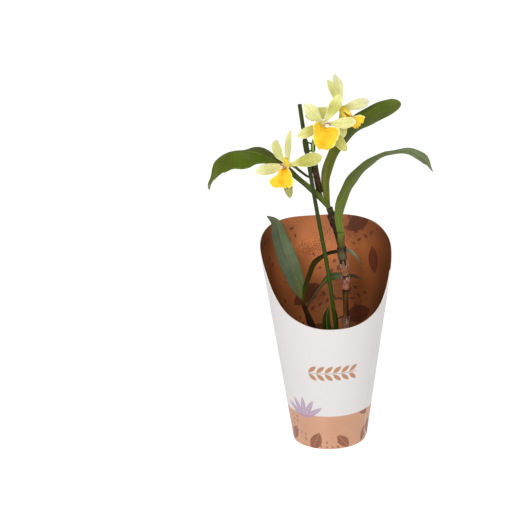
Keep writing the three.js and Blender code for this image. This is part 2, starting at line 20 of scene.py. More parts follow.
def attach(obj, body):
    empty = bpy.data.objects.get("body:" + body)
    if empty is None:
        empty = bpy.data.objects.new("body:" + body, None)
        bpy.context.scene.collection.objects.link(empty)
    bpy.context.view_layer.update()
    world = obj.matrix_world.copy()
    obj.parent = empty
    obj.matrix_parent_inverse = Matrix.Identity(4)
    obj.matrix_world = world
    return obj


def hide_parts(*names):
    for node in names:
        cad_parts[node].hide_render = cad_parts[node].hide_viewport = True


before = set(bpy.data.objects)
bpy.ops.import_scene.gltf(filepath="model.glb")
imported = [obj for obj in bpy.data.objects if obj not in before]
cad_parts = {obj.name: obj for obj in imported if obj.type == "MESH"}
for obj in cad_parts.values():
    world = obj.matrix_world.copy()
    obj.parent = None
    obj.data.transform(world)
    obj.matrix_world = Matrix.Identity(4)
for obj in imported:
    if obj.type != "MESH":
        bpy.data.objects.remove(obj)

LOG = logging.getLogger("orchid")
MM = 0.001
ROOT = "root"
FRONT = (0.0, -1.0, 0.0)
GAP = 0.35  # clearance between pieces that touch
TURN = 2 * math.pi
WELD = 2e-7  # metres within which points are one

Point = tuple[float, float, float]
Row = Sequence[float]
Node = bpy.types.Node
Socket = bpy.types.NodeSocket
Tree = bpy.types.NodeTree


class Slot(Enum):
    """Material slots."""

    CARTON = "white_carton"
    POT = "pot_plastic"
    BARK = "orchid_bark"
    STICK = "stick_green"
    CLIP = "clip_green"
    RHIZOME = "rhizome_brown"
    BROWN_CANE = "brown_cane"
    GREEN_CANE = "green_cane"
    DRY_SHEATH = "dry_sheath"
    DARK_SHEATH = "dark_sheath"
    STALK = "flower_stalk"
    LEAF = "green_leaf"
    BLUE_LEAF = "blue_green_leaf"
    TEPAL = "tepal"
    LIP = "lip_yellow"
    COLUMN = "column_cream"


# ---- numbers ----


def linear(colour: str) -> tuple[float, float, float, float]:
    """Linear red, green, blue and an alpha of 1 of an sRGB colour written as "#rrggbb"."""
    shares = [int(colour[i : i + 2], 16) / 255 for i in (1, 3, 5)]
    return (*(s / 12.92 if s <= 0.04045 else ((s + 0.055) / 1.055) ** 2.4 for s in shares), 1.0)


def ease(x: np.ndarray) -> np.ndarray:
    """Smooth step from 0 to 1 as x goes from 0 to 1."""
    x = np.clip(x, 0, 1)
    return x * x * (3 - 2 * x)


def bell(x: np.ndarray, width: float) -> np.ndarray:
    """Bell curve that is 1 where x is 0 and falls off over a width."""
    return np.exp(-((x / width) ** 2))


def unit(vectors: np.ndarray) -> np.ndarray:
    """Vectors scaled to length one along their last axis."""
    return vectors / np.linalg.norm(vectors, axis=-1, keepdims=True)


def along(values: Sequence, t: np.ndarray) -> np.ndarray:
    """Read a row of evenly spaced numbers or vectors on a smooth curve through them.

    Args:
        values: the row, from the foot to the tip.
        t: shares of the length, 0 to 1.

    Returns:
        The value at each share.
    """
    row = np.asarray(values, float)
    ends = np.concatenate([2 * row[:1] - row[1:2], row, 2 * row[-1:] - row[-2:-1]])
    place = np.clip(t, 0, 1) * (len(row) - 1)
    low = np.minimum(np.floor(place).astype(int), len(row) - 2)
    u = (place - low).reshape(*place.shape, *(1,) * (row.ndim - 1))
    p0, p1, p2, p3 = (ends[low + k] for k in range(4))
    return p1 + 0.5 * u * (p2 - p0 + u * (2 * p0 - 5 * p1 + 4 * p2 - p3
                                          + u * (3 * (p1 - p2) + p3 - p0)))


def tones(colours: str) -> np.ndarray:
    """Linear red, green and blue of a row of sRGB hex colours with spaces between."""
    return np.array([linear(c)[:3] for c in colours.split()])


def shade(colours: str, t: np.ndarray) -> np.ndarray:
    """Linear colours read along a row of sRGB hex colours with spaces between."""
    return np.clip(along(tones(colours), t), 0, 1)


def ripple(angle: np.ndarray, seed: int, lowest: int = 1, highest: int = 9) -> np.ndarray:
    """Periodic wander round a ring or along a margin, about -1 to 1.

    Args:
        angle: angles in radians.
        seed: picks the wander.
        lowest: fewest waves in a turn.
        highest: most waves in a turn.

    Returns:
        The wander at each angle.
    """
    draw = np.random.default_rng(seed)
    usual_peak = 1.7
    total = np.zeros_like(angle, dtype=float)
    for waves in range(lowest, highest + 1):
        total = total + np.sin(waves * angle + draw.uniform(0, TURN)) / waves**0.5
    return total / usual_peak


class Line:
    """Smooth centripetal curve through points, read by its share of the length."""

    SAMPLES = 80  # per stretch between two points

    def __init__(self, points: Sequence[Point]) -> None:
        """Sample the curve finely through its points."""
        knots = np.asarray(points, float)
        ends = np.vstack([2 * knots[0] - knots[1], knots, 2 * knots[-1] - knots[-2]])
        u = np.linspace(0, 1, self.SAMPLES, endpoint=False)[:, None]
        stretches = []
        for p0, p1, p2, p3 in zip(ends, ends[1:], ends[2:], ends[3:]):
            d0, d1, d2 = (np.linalg.norm(b - a) ** 0.5 for a, b in ((p0, p1), (p1, p2), (p2, p3)))
            m1 = ((p1 - p0) / d0 - (p2 - p0) / (d0 + d1) + (p2 - p1) / d1) * d1
            m2 = ((p2 - p1) / d1 - (p3 - p1) / (d1 + d2) + (p3 - p2) / d2) * d1
            stretches.append(p1 + m1 * u + (3 * p2 - 3 * p1 - 2 * m1 - m2) * u**2
                             + (2 * p1 - 2 * p2 + m1 + m2) * u**3)
        self.dense = np.vstack([*stretches, knots[-1:]])
        steps = np.linalg.norm(np.diff(self.dense, axis=0), axis=1)
        travel = np.concatenate([[0], np.cumsum(steps)])
        self.length = float(travel[-1])
        self.share = travel / travel[-1]
        self.slope = unit(np.gradient(self.dense, self.share, axis=0))

    def at(self, t: np.ndarray) -> np.ndarray:
        """Points at shares of the length."""
        return np.stack([np.interp(t, self.share, self.dense[:, i]) for i in range(3)], -1)

    def tangent(self, t: np.ndarray) -> np.ndarray:
        """Directions of the curve at shares of the length."""
        return unit(np.stack([np.interp(t, self.share, self.slope[:, i]) for i in range(3)], -1))

    def at_height(self, z: float) -> float:
        """Share of the length at which a rising curve reaches a height."""
        return float(np.interp(z, self.dense[:, 2], self.share))

    def crossways(self, t: np.ndarray) -> tuple[np.ndarray, np.ndarray]:
        """Two directions across the curve at each share, carried along it without twist."""
        tangents = self.tangent(t)
        level = abs(tangents[0][1]) < 0.9
        normal = np.array(FRONT if level else (1.0, 0.0, 0.0))
        normals = []
        for direction in tangents:
            normal = unit(normal - direction * (normal @ direction))
            normals.append(normal)
        return np.array(normals), np.cross(tangents, np.array(normals))


# ---- meshes ----


@dataclass
class Shape:
    """Points and faces with named values at each point, before they become a mesh.

    Attributes:
        points: places in millimetres.
        faces: point numbers of each face.
        values: rows of numbers or vectors, one for each point.
        parts: the finish of each face, as its place in the piece's list of finishes.
    """

    points: np.ndarray
    faces: list
    values: dict[str, np.ndarray] = field(default_factory=dict)
    parts: list[int] = field(default_factory=list)

    def joined(self, other: "Shape") -> "Shape":
        """This shape and another as one."""
        start = len(self.points)
        moved = [tuple(start + n for n in face) for face in other.faces]
        values = {k: np.concatenate([self.values[k], other.values[k]]) for k in self.values}
        return Shape(np.vstack([self.points, other.points]), [*self.faces, *moved], values,
                     [*self.parts, *other.parts])

    def make(self, name: str, sharp: float = 50.0) -> bpy.types.Object:
        """Make the object.

        Args:
            name: the piece's name.
            sharp: the angle in degrees between faces past which an edge stays sharp.

        Returns:
            The new object, at the origin and in the scene.
        """
        mesh = bpy.data.meshes.new(name)
        mesh.from_pydata((np.asarray(self.points) * MM).tolist(), [], [list(f) for f in self.faces])
        for key, rows in self.values.items():
            rows = np.asarray(rows, np.float32)
            kind, place = ("FLOAT", "value") if rows.ndim == 1 else ("FLOAT_VECTOR", "vector")
            mesh.attributes.new(key, kind, "POINT").data.foreach_set(place, rows.ravel())
        if self.parts:
            mesh.polygons.foreach_set("material_index", self.parts)
        welded = bmesh.new()
        welded.from_mesh(mesh)
        bmesh.ops.remove_doubles(welded, verts=welded.verts, dist=WELD)
        bmesh.ops.recalc_face_normals(welded, faces=welded.faces)
        welded.to_mesh(mesh)
        welded.free()
        mesh.shade_smooth()
        mesh.set_sharp_from_angle(angle=math.radians(sharp))
        piece = bpy.data.objects.new(name, mesh)
        bpy.context.scene.collection.objects.link(piece)
        return piece


def quads(ids: np.ndarray, around: bool = False) -> list:
    """Faces of a grid of point numbers, closed round its second axis where asked."""
    if around:
        ids = np.hstack([ids, ids[:, :1]])
    corners = (ids[:-1, :-1], ids[:-1, 1:], ids[1:, 1:], ids[1:, :-1])
    return np.stack(corners, -1).reshape(-1, 4).tolist()


def sheet(top: np.ndarray, bottom: np.ndarray, above: dict, below: dict) -> Shape:
    """Closed thin sheet between two grids of points that share their border.

    Args:
        top: the upper side's points, rows by columns by 3.
        bottom: the lower side's points.
        above: values on the upper side.
        below: values on the lower side.

    Returns:
        The shape.
    """
    rows, columns = top.shape[:2]
    inner = (slice(1, -1), slice(1, -1))
    upper = np.arange(rows * columns).reshape(rows, columns)
    lower = upper.copy()
    lower[inner] = upper.size + np.arange((rows - 2) * (columns - 2)).reshape(rows - 2, columns - 2)

    def stacked(high: np.ndarray, low: np.ndarray) -> np.ndarray:
        """All of the upper grid's entries and the inner ones of the lower grid."""
        shape = (-1, *high.shape[2:])
        return np.concatenate([high.reshape(shape), low[inner].reshape(shape)])

    values = {key: stacked(above[key], below[key]) for key in above}
    return Shape(stacked(top, bottom), quads(upper) + quads(lower[::-1]), values)


def tube(line: Line, t: np.ndarray, radii: np.ndarray, values: dict) -> Shape:
    """Closed solid round a line, with flat ends.

    Args:
        line: the line.
        t: shares of the line's length, one for each loop.
        radii: radii, loops by sides.
        values: values, loops by sides.

    Returns:
        The shape.
    """
    loops, sides = radii.shape
    turn = np.arange(sides) * TURN / sides
    normal, across = line.crossways(t)
    centre = line.at(t)
    rim = (normal[:, None] * np.cos(turn)[:, None] + across[:, None] * np.sin(turn)[:, None])
    points = (centre[:, None] + rim * radii[..., None]).reshape(-1, 3)
    ids = np.arange(loops * sides).reshape(loops, sides)
    hubs = loops * sides, loops * sides + 1
    faces = quads(ids, around=True)
    faces += [(hubs[0], ids[0, (k + 1) % sides], ids[0, k]) for k in range(sides)]
    faces += [(hubs[1], ids[-1, k], ids[-1, (k + 1) % sides]) for k in range(sides)]
    flat = {}
    for key, rows in values.items():
        ends = np.stack([rows[0].mean(0), rows[-1].mean(0)])
        flat[key] = np.concatenate([rows.reshape(-1, *rows.shape[2:]), ends])
    return Shape(np.vstack([points, centre[:1], centre[-1:]]), faces, flat)


def lathe(profile: Sequence[tuple[float, float]], sides: int, foot: Point = (0, 0, 0)) -> Shape:
    """Solid turned about an upright axis from a closed profile.

    Args:
        profile: corners as radius and height along the axis.
        sides: faces in a turn.
        foot: the point on the axis at height 0.

    Returns:
        The shape.
    """
    radius, height = np.asarray(profile, float).T
    turn = np.arange(sides) * TURN / sides
    points = np.stack([radius[:, None] * np.cos(turn), radius[:, None] * np.sin(turn),
                       height[:, None] * np.ones(sides)], -1)
    ids = np.arange(points[..., 0].size).reshape(points.shape[:2])
    return Shape(points.reshape(-1, 3) + np.array(foot), quads(np.vstack([ids, ids[:1]]), around=True))


def settle(piece: bpy.types.Object, slot: Slot, finishes: Sequence["Finish"], *nodes: str) -> None:
    """Dress a piece, put it on the plant's one body and let it stand for its CAD nodes.

    Args:
        piece: the finished object.
        slot: the material slot; not used.
        finishes: the finishes that its faces count through.
        nodes: the CAD nodes that it stands for.
    """
    for finish in finishes[len(piece.data.materials):]:
        piece.data.materials.append(finish.material())
    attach(piece, ROOT)
    if nodes:
        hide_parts(*nodes)
    LOG.info("%s: %d faces", piece.name, len(piece.data.polygons))


# ---- finishes ----


def add(tree: Tree, kind: str, *inputs: object, **settings: object) -> Node:
    """Add one node with its settings and links.

    Args:
        tree: the tree.
        kind: the node's type, a shader node's without its first words, and after a point what it
            reckons or the type of data it mixes.
        inputs: what goes to its sockets in use, in their order: a value, a socket, or a node that
            stands for its main output.
        settings: with a capital letter, what goes to the socket of that name, where _ is a space;
            else a property of the node.

    Returns:
        The node.
    """
    kind, _, mode = kind.partition(".")
    node = tree.nodes.new(kind if "Node" in kind else f"ShaderNode{kind}")
    if mode:
        setattr(node, "operation" if "Math" in kind else "data_type", mode)
    links = {key.replace("_", " "): value for key, value in settings.items() if key[0].isupper()}
    for key, value in settings.items():
        if key[0].islower():
            setattr(node, key, value)
    sockets = [socket for socket in node.inputs if socket.enabled]
    named = [(next(s for s in sockets if s.name == key), value) for key, value in links.items()]
    for socket, value in [*zip(sockets, inputs), *named]:
        if isinstance(value, Node):
            value = next(s for s in value.outputs if s.enabled)
        if isinstance(value, Socket):
            tree.links.new(value, socket)
        else:
            socket.default_value = value
    return node


@dataclass(frozen=True)
class Finish:
    """A surface finish. A subclass lays its nodes in paint().

    Attributes:
        label: the material's name.
    """

    label: str

    @cache
    def material(self) -> bpy.types.Material:
        """The finish as a material, made once."""
        made = bpy.data.materials.new(self.label)
        made.use_nodes = True
        made.node_tree.nodes.clear()
        add(made.node_tree, "OutputMaterial", Surface=self.paint(made.node_tree))
        return made

    def paint(self, tree: Tree) -> Node:
        """Lay the finish's nodes and return its shader."""
        raise NotImplementedError


@dataclass(frozen=True)
class Tissue(Finish):
    """Plant tissue: its own colour at each point, with fibres along the growth and cloudy patches.

    Attributes:
        fibre: width of a vein or fibre in millimetres.
        run: its length over its width.
        fibre_depth: how far fibres darken and lighten the colour.
        cloud: size of a patch in millimetres.
        cloud_depth: how far patches darken and lighten the colour.
        relief: how far fibres stand out, in millimetres.
        roughness: dullness of the surface.
        dullness: how far patches change it.
        speck: size of a speck in millimetres.
        speck_colour: the specks' colour.
        speck_share: how much of the surface the specks take.
        glow: share of light that goes in and comes out again nearby.
        glow_depth: how far it goes, in millimetres.
        coat: share of a clear skin over it.
        shine: strength of its mirror reflection, 0.5 being that of plain glass.
    """

    fibre: float = 0.9
    run: float = 24.0
    fibre_depth: float = 0.12
    cloud: float = 9.0
    cloud_depth: float = 0.12
    relief: float = 0.05
    roughness: float = 0.4
    dullness: float = 0.15
    speck: float = 0.7
    speck_colour: str = "#000000"
    speck_share: float = 0.0
    glow: float = 0.0
    glow_depth: float = 1.0
    coat: float = 0.0
    shine: float = 0.25

    FIBRE_SPAN = (0.25, 0.75)  # noise values between which fibres go from darkest to lightest
    CLOUD_SPAN = (0.3, 0.7)  # the same for patches

    def paint(self, tree: Tree) -> Node:
        """Lay the tissue's nodes and return its shader."""
        place = add(tree, "TexCoord").outputs["Object"]
        skin = add(tree, "Attribute", attribute_name="skin").outputs["Vector"]
        grow = add(tree, "Attribute", attribute_name="grow").outputs["Vector"]
        drawn = add(tree, "VectorMath.MULTIPLY", grow, (1 / (self.fibre * self.run), 1 / self.fibre, 1.0))
        fibres = add(tree, "TexNoise", Vector=drawn, Scale=1.0, Detail=3.0, Roughness=0.6)
        clouds = add(tree, "TexNoise", Vector=place, Scale=1 / (self.cloud * MM), Detail=4.0,
                     Roughness=0.55)
        fine = add(tree, "MapRange", fibres, *self.FIBRE_SPAN, 1 - self.fibre_depth, 1 + self.fibre_depth,
                   clamp=False)
        broad = add(tree, "MapRange", clouds, *self.CLOUD_SPAN, 1 - self.cloud_depth,
                    1 + self.cloud_depth, clamp=False)
        shade = add(tree, "Math.MULTIPLY", fine, broad)
        colour = add(tree, "VectorMath.SCALE", skin, shade)
        if self.speck_share:
            grains = add(tree, "TexNoise", Vector=place, Scale=1 / (self.speck * MM), Detail=1.0)
            edge = 0.72 - 0.3 * self.speck_share
            dotted = add(tree, "MapRange", grains, edge, edge + 0.06)
            colour = add(tree, "Mix.RGBA", dotted, colour, linear(self.speck_colour))
        dull = add(tree, "MapRange", clouds, *self.CLOUD_SPAN, self.roughness - self.dullness / 2,
                   self.roughness + self.dullness / 2)
        bump = add(tree, "Bump", Strength=0.8, Distance=self.relief * MM, Height=fibres)
        return add(tree, "BsdfPrincipled", Base_Color=colour, Roughness=dull, Normal=bump, IOR=1.42,
                   Subsurface_Weight=self.glow, Subsurface_Radius=(1.0, 0.8, 0.35),
                   Subsurface_Scale=self.glow_depth * MM, Coat_Weight=self.coat, Coat_Roughness=0.25,
                   Specular_IOR_Level=self.shine)


# Cattleya leaf: thick waxy cuticle, a broad dull shine with fine lengthwise veins under it.
LEAF_SKIN = Tissue("waxy_leaf", fibre=1.1, run=30, fibre_depth=0.10, cloud=11, cloud_depth=0.13,
                   relief=0.08, roughness=0.46, dullness=0.16, shine=0.14)
# A leaf with a bloom of wax on it: duller and bluer, with pale streaks.
BLOOMED_LEAF = Tissue("wax_bloomed_leaf", fibre=1.5, run=26, fibre_depth=0.2, cloud=8, relief=0.10,
                      roughness=0.58, dullness=0.12, shine=0.18)
# Petal and sepal: watery cells that let light through and faint veins; its pale specks are painted glints
# that stand for a fine sparkle.
PETAL_SKIN = Tissue("petal_tissue", fibre=0.8, run=18, fibre_depth=0.07, cloud=5, cloud_depth=0.06,
                    relief=0.07, roughness=0.5, dullness=0.1, speck=0.55, speck_colour="#eeedc0",
                    speck_share=0.3, glow=0.35, glow_depth=1.6)
# Lip: velvety yellow tissue with a deeper orange in its folds.
LIP_SKIN = Tissue("velvet_lip", fibre=0.7, run=9, fibre_depth=0.09, cloud=5, relief=0.12,
                  roughness=0.55, dullness=0.1, speck=0.6, speck_colour="#f9a70f", speck_share=0.3,
                  glow=0.45, glow_depth=1.6)
# Column: smooth waxy cream flesh.
COLUMN_WAX = Tissue("column_wax", fibre=0.6, run=5, fibre_depth=0.05, cloud=2, cloud_depth=0.06,
                    relief=0.03, roughness=0.35, glow=0.4, glow_depth=1.2)
# Flower stalk: smooth green skin with a little purple speckle.
STALK_SKIN = Tissue("flower_stalk_skin", fibre=0.6, run=16, cloud=4, roughness=0.42, speck=0.8,
                    speck_colour="#5a4a34", speck_share=0.25, glow=0.1)
# Cane: ribbed skin, glossy where it is green, with scars and dark specks.
CANE_SKIN = Tissue("cane_skin", fibre=0.7, run=22, fibre_depth=0.28, cloud=5, cloud_depth=0.22,
                   relief=0.12, roughness=0.5, dullness=0.2, speck=0.9, speck_colour="#2c1c14",
                   speck_share=0.4)
# Dry sheath: thin dead skin like paper, with pale fibres and brown stains.
SHEATH_PAPER = Tissue("dry_sheath_paper", fibre=0.45, run=30, fibre_depth=0.3, cloud=3.5,
                      cloud_depth=0.3, relief=0.14, roughness=0.62, dullness=0.2, speck=0.6,
                      speck_colour="#6b4532", speck_share=0.4, glow=0.15)
# Creeping stem and roots: cracked brown skin.
ROOT_SKIN = Tissue("rhizome_skin", fibre=0.8, run=6, fibre_depth=0.3, cloud=3, cloud_depth=0.28,
                   relief=0.25, roughness=0.8, speck=1.0, speck_colour="#2a1e12", speck_share=0.5)
# Dyed plant stick: split wood or cane under green stain, with straight grain.
STICK_STAIN = Tissue("stained_stick", fibre=0.4, run=60, fibre_depth=0.16, cloud=6, relief=0.08,
                     roughness=0.42, dullness=0.12, coat=0.08, shine=0.12)
# Clip: moulded polypropylene, satin with faint flow marks.
CLIP_PLASTIC = Tissue("moulded_clip_plastic", fibre=1.5, run=3, fibre_depth=0.06, cloud=2.5,
                      cloud_depth=0.08, relief=0.03, dullness=0.1)


@dataclass(frozen=True)
class PotPlastic(Finish):
    """Thermoformed pot sheet: dark recycled plastic with a dull shine and scuffs."""

    label: str = "thermoformed_pot"

    def paint(self, tree: Tree) -> Node:
        """Lay the plastic's nodes and return its shader."""
        place = add(tree, "TexCoord").outputs["Object"]
        scuffs = add(tree, "TexNoise", Vector=place, Scale=1 / (6 * MM), Detail=6.0, Roughness=0.7)
        colour = add(tree, "Mix.RGBA", scuffs, linear("#1d1a18"), linear("#38322e"))
        dull = add(tree, "MapRange", scuffs, To_Min=0.35, To_Max=0.6)
        bump = add(tree, "Bump", Strength=0.5, Distance=0.1 * MM, Height=scuffs)
        return add(tree, "BsdfPrincipled", Base_Color=colour, Roughness=dull, Normal=bump)


@dataclass(frozen=True)
class BarkChip(Finish):
    """Pine bark chips: corky red-brown layers, dark in the cracks and pale on broken edges."""

    label: str = "pine_bark"

    def paint(self, tree: Tree) -> Node:
        """Lay the bark's nodes and return its shader."""
        place = add(tree, "TexCoord").outputs["Object"]
        layers = add(tree, "TexNoise", Vector=place, Scale=1 / (1.6 * MM), Detail=6.0, Roughness=0.65)
        chips = add(tree, "TexNoise", Vector=place, Scale=1 / (9 * MM), Detail=2.0)
        dark = add(tree, "MapRange", layers, 0.35, 0.65)
        tint = add(tree, "Attribute", attribute_name="tint").outputs["Fac"]
        blend = add(tree, "Math.MULTIPLY_ADD", chips, 0.4, tint)
        hue = add(tree, "Mix.RGBA", blend, linear("#4a2e1e"), linear("#94704e"))
        colour = add(tree, "Mix.RGBA", dark, linear("#2a1a12"), hue)
        bump = add(tree, "Bump", Strength=1.0, Distance=0.6 * MM, Height=layers)
        return add(tree, "BsdfPrincipled", Base_Color=colour, Roughness=0.92, Normal=bump)


@dataclass(frozen=True)
class RawBoard(Finish):
    """Cut carton: pale fibres pressed in layers, quite dull."""

    label: str = "cut_carton_edge"
    colour: str = "#f6f1ea"
    fleck: str = "#ebe3d8"

    def paint(self, tree: Tree) -> Node:
        """Lay the board's nodes and return its shader."""
        place = add(tree, "TexCoord").outputs["Object"]
        pulp = add(tree, "TexNoise", Vector=place, Scale=1 / (0.8 * MM), Detail=4.0, Roughness=0.7)
        colour = add(tree, "Mix.RGBA", pulp, linear(self.colour), linear(self.fleck))
        bump = add(tree, "Bump", Strength=0.5, Distance=0.06 * MM, Height=pulp)
        return add(tree, "BsdfPrincipled", Base_Color=colour, Roughness=0.85, Normal=bump)


def lancet(tree: Tree, part: Node, off: Node, width: float | Node, soft: float) -> Node:
    """Mask of one lancet leaf.

    Args:
        tree: the tree.
        part: place along the leaf, -0.5 at its foot and 0.5 at its tip.
        off: distance from its midrib.
        width: its half width.
        soft: width of the mask's edge.

    Returns:
        The mask: 1 on the leaf and 0 beside it.
    """
    square = add(tree, "Math.MULTIPLY", part, part)
    taper = add(tree, "Math.MULTIPLY_ADD", square, -4.0, 1.0)
    limit = add(tree, "Math.MULTIPLY", taper, width)
    inside = add(tree, "Math.SUBTRACT", limit, off)
    return add(tree, "MapRange", inside, 0.0, soft)


@cache
def lancet_group() -> Tree:
    """Node group of a plain lancet leaf in each cell of a grid, in millimetres.

    Returns:
        A group that turns a place on the sheet to a mask: 1 on a leaf and less on its veins.
    """
    least_size, soft, spine_edge = 0.68, 0.25, (0.2, 0.5)
    vein_slant, vein_beat, side_strength = 0.9, 2.6, 0.7
    tree = bpy.data.node_groups.new("lancet_leaves", "ShaderNodeTree")
    wanted = {"Place": (0, 0, 0), "Cell": 20.0, "Length": 18.0, "Width": 4.0, "Angle": 0.0,
              "Wander": 6.28, "Share": 1.0, "Veins": 0.5}
    for name, value in wanted.items():
        kind = "NodeSocketVector" if name == "Place" else "NodeSocketFloat"
        tree.interface.new_socket(name, in_out="INPUT", socket_type=kind).default_value = value
    tree.interface.new_socket("Mask", in_out="OUTPUT", socket_type="NodeSocketFloat")
    given = add(tree, "NodeGroupInput").outputs
    shrunk = add(tree, "Math.DIVIDE", 1.0, given["Cell"])
    cells = add(tree, "VectorMath.SCALE", given["Place"], shrunk)
    corner = add(tree, "VectorMath.FLOOR", cells)
    within = add(tree, "VectorMath.SUBTRACT", cells, corner)
    centred = add(tree, "VectorMath.SUBTRACT", within, (0.5, 0.5, 0))
    local = add(tree, "VectorMath.SCALE", centred, given["Cell"])
    chance = add(tree, "TexWhiteNoise", Vector=corner, noise_dimensions="2D").outputs["Color"]
    turn_draw, size_draw, share_draw = add(tree, "SeparateColor", chance).outputs
    turn = add(tree, "Math.MULTIPLY_ADD", turn_draw, given["Wander"], given["Angle"])
    turned = add(tree, "VectorRotate", Vector=local, Angle=turn, rotation_type="Z_AXIS")
    size = add(tree, "MapRange", size_draw, To_Min=least_size, To_Max=1.0)
    across, along_it, _ = add(tree, "SeparateXYZ", turned).outputs
    long = add(tree, "Math.MULTIPLY", given["Length"], size)
    wide = add(tree, "Math.MULTIPLY", given["Width"], size)
    part = add(tree, "Math.DIVIDE", along_it, long)
    off = add(tree, "Math.ABSOLUTE", across)
    body = lancet(tree, part, off, wide, soft)
    slanted = add(tree, "Math.MULTIPLY_ADD", off, -vein_slant, along_it)
    beat = add(tree, "Math.MULTIPLY", slanted, vein_beat)
    ribs = add(tree, "Math.SINE", beat)
    side = add(tree, "MapRange", ribs, 0.55, 0.9, 0.0, side_strength)
    spine = add(tree, "MapRange", off, *spine_edge, 1.0, 0.0)
    veins = add(tree, "Math.MAXIMUM", side, spine)
    strength = add(tree, "Math.MULTIPLY", veins, given["Veins"])
    left = add(tree, "Math.SUBTRACT", 1.0, strength)
    drawn = add(tree, "Math.MULTIPLY", body, left)
    kept = add(tree, "Math.LESS_THAN", share_draw, given["Share"])
    mask = add(tree, "Math.MULTIPLY", drawn, kept)
    add(tree, "NodeGroupOutput", Mask=mask)
    return tree


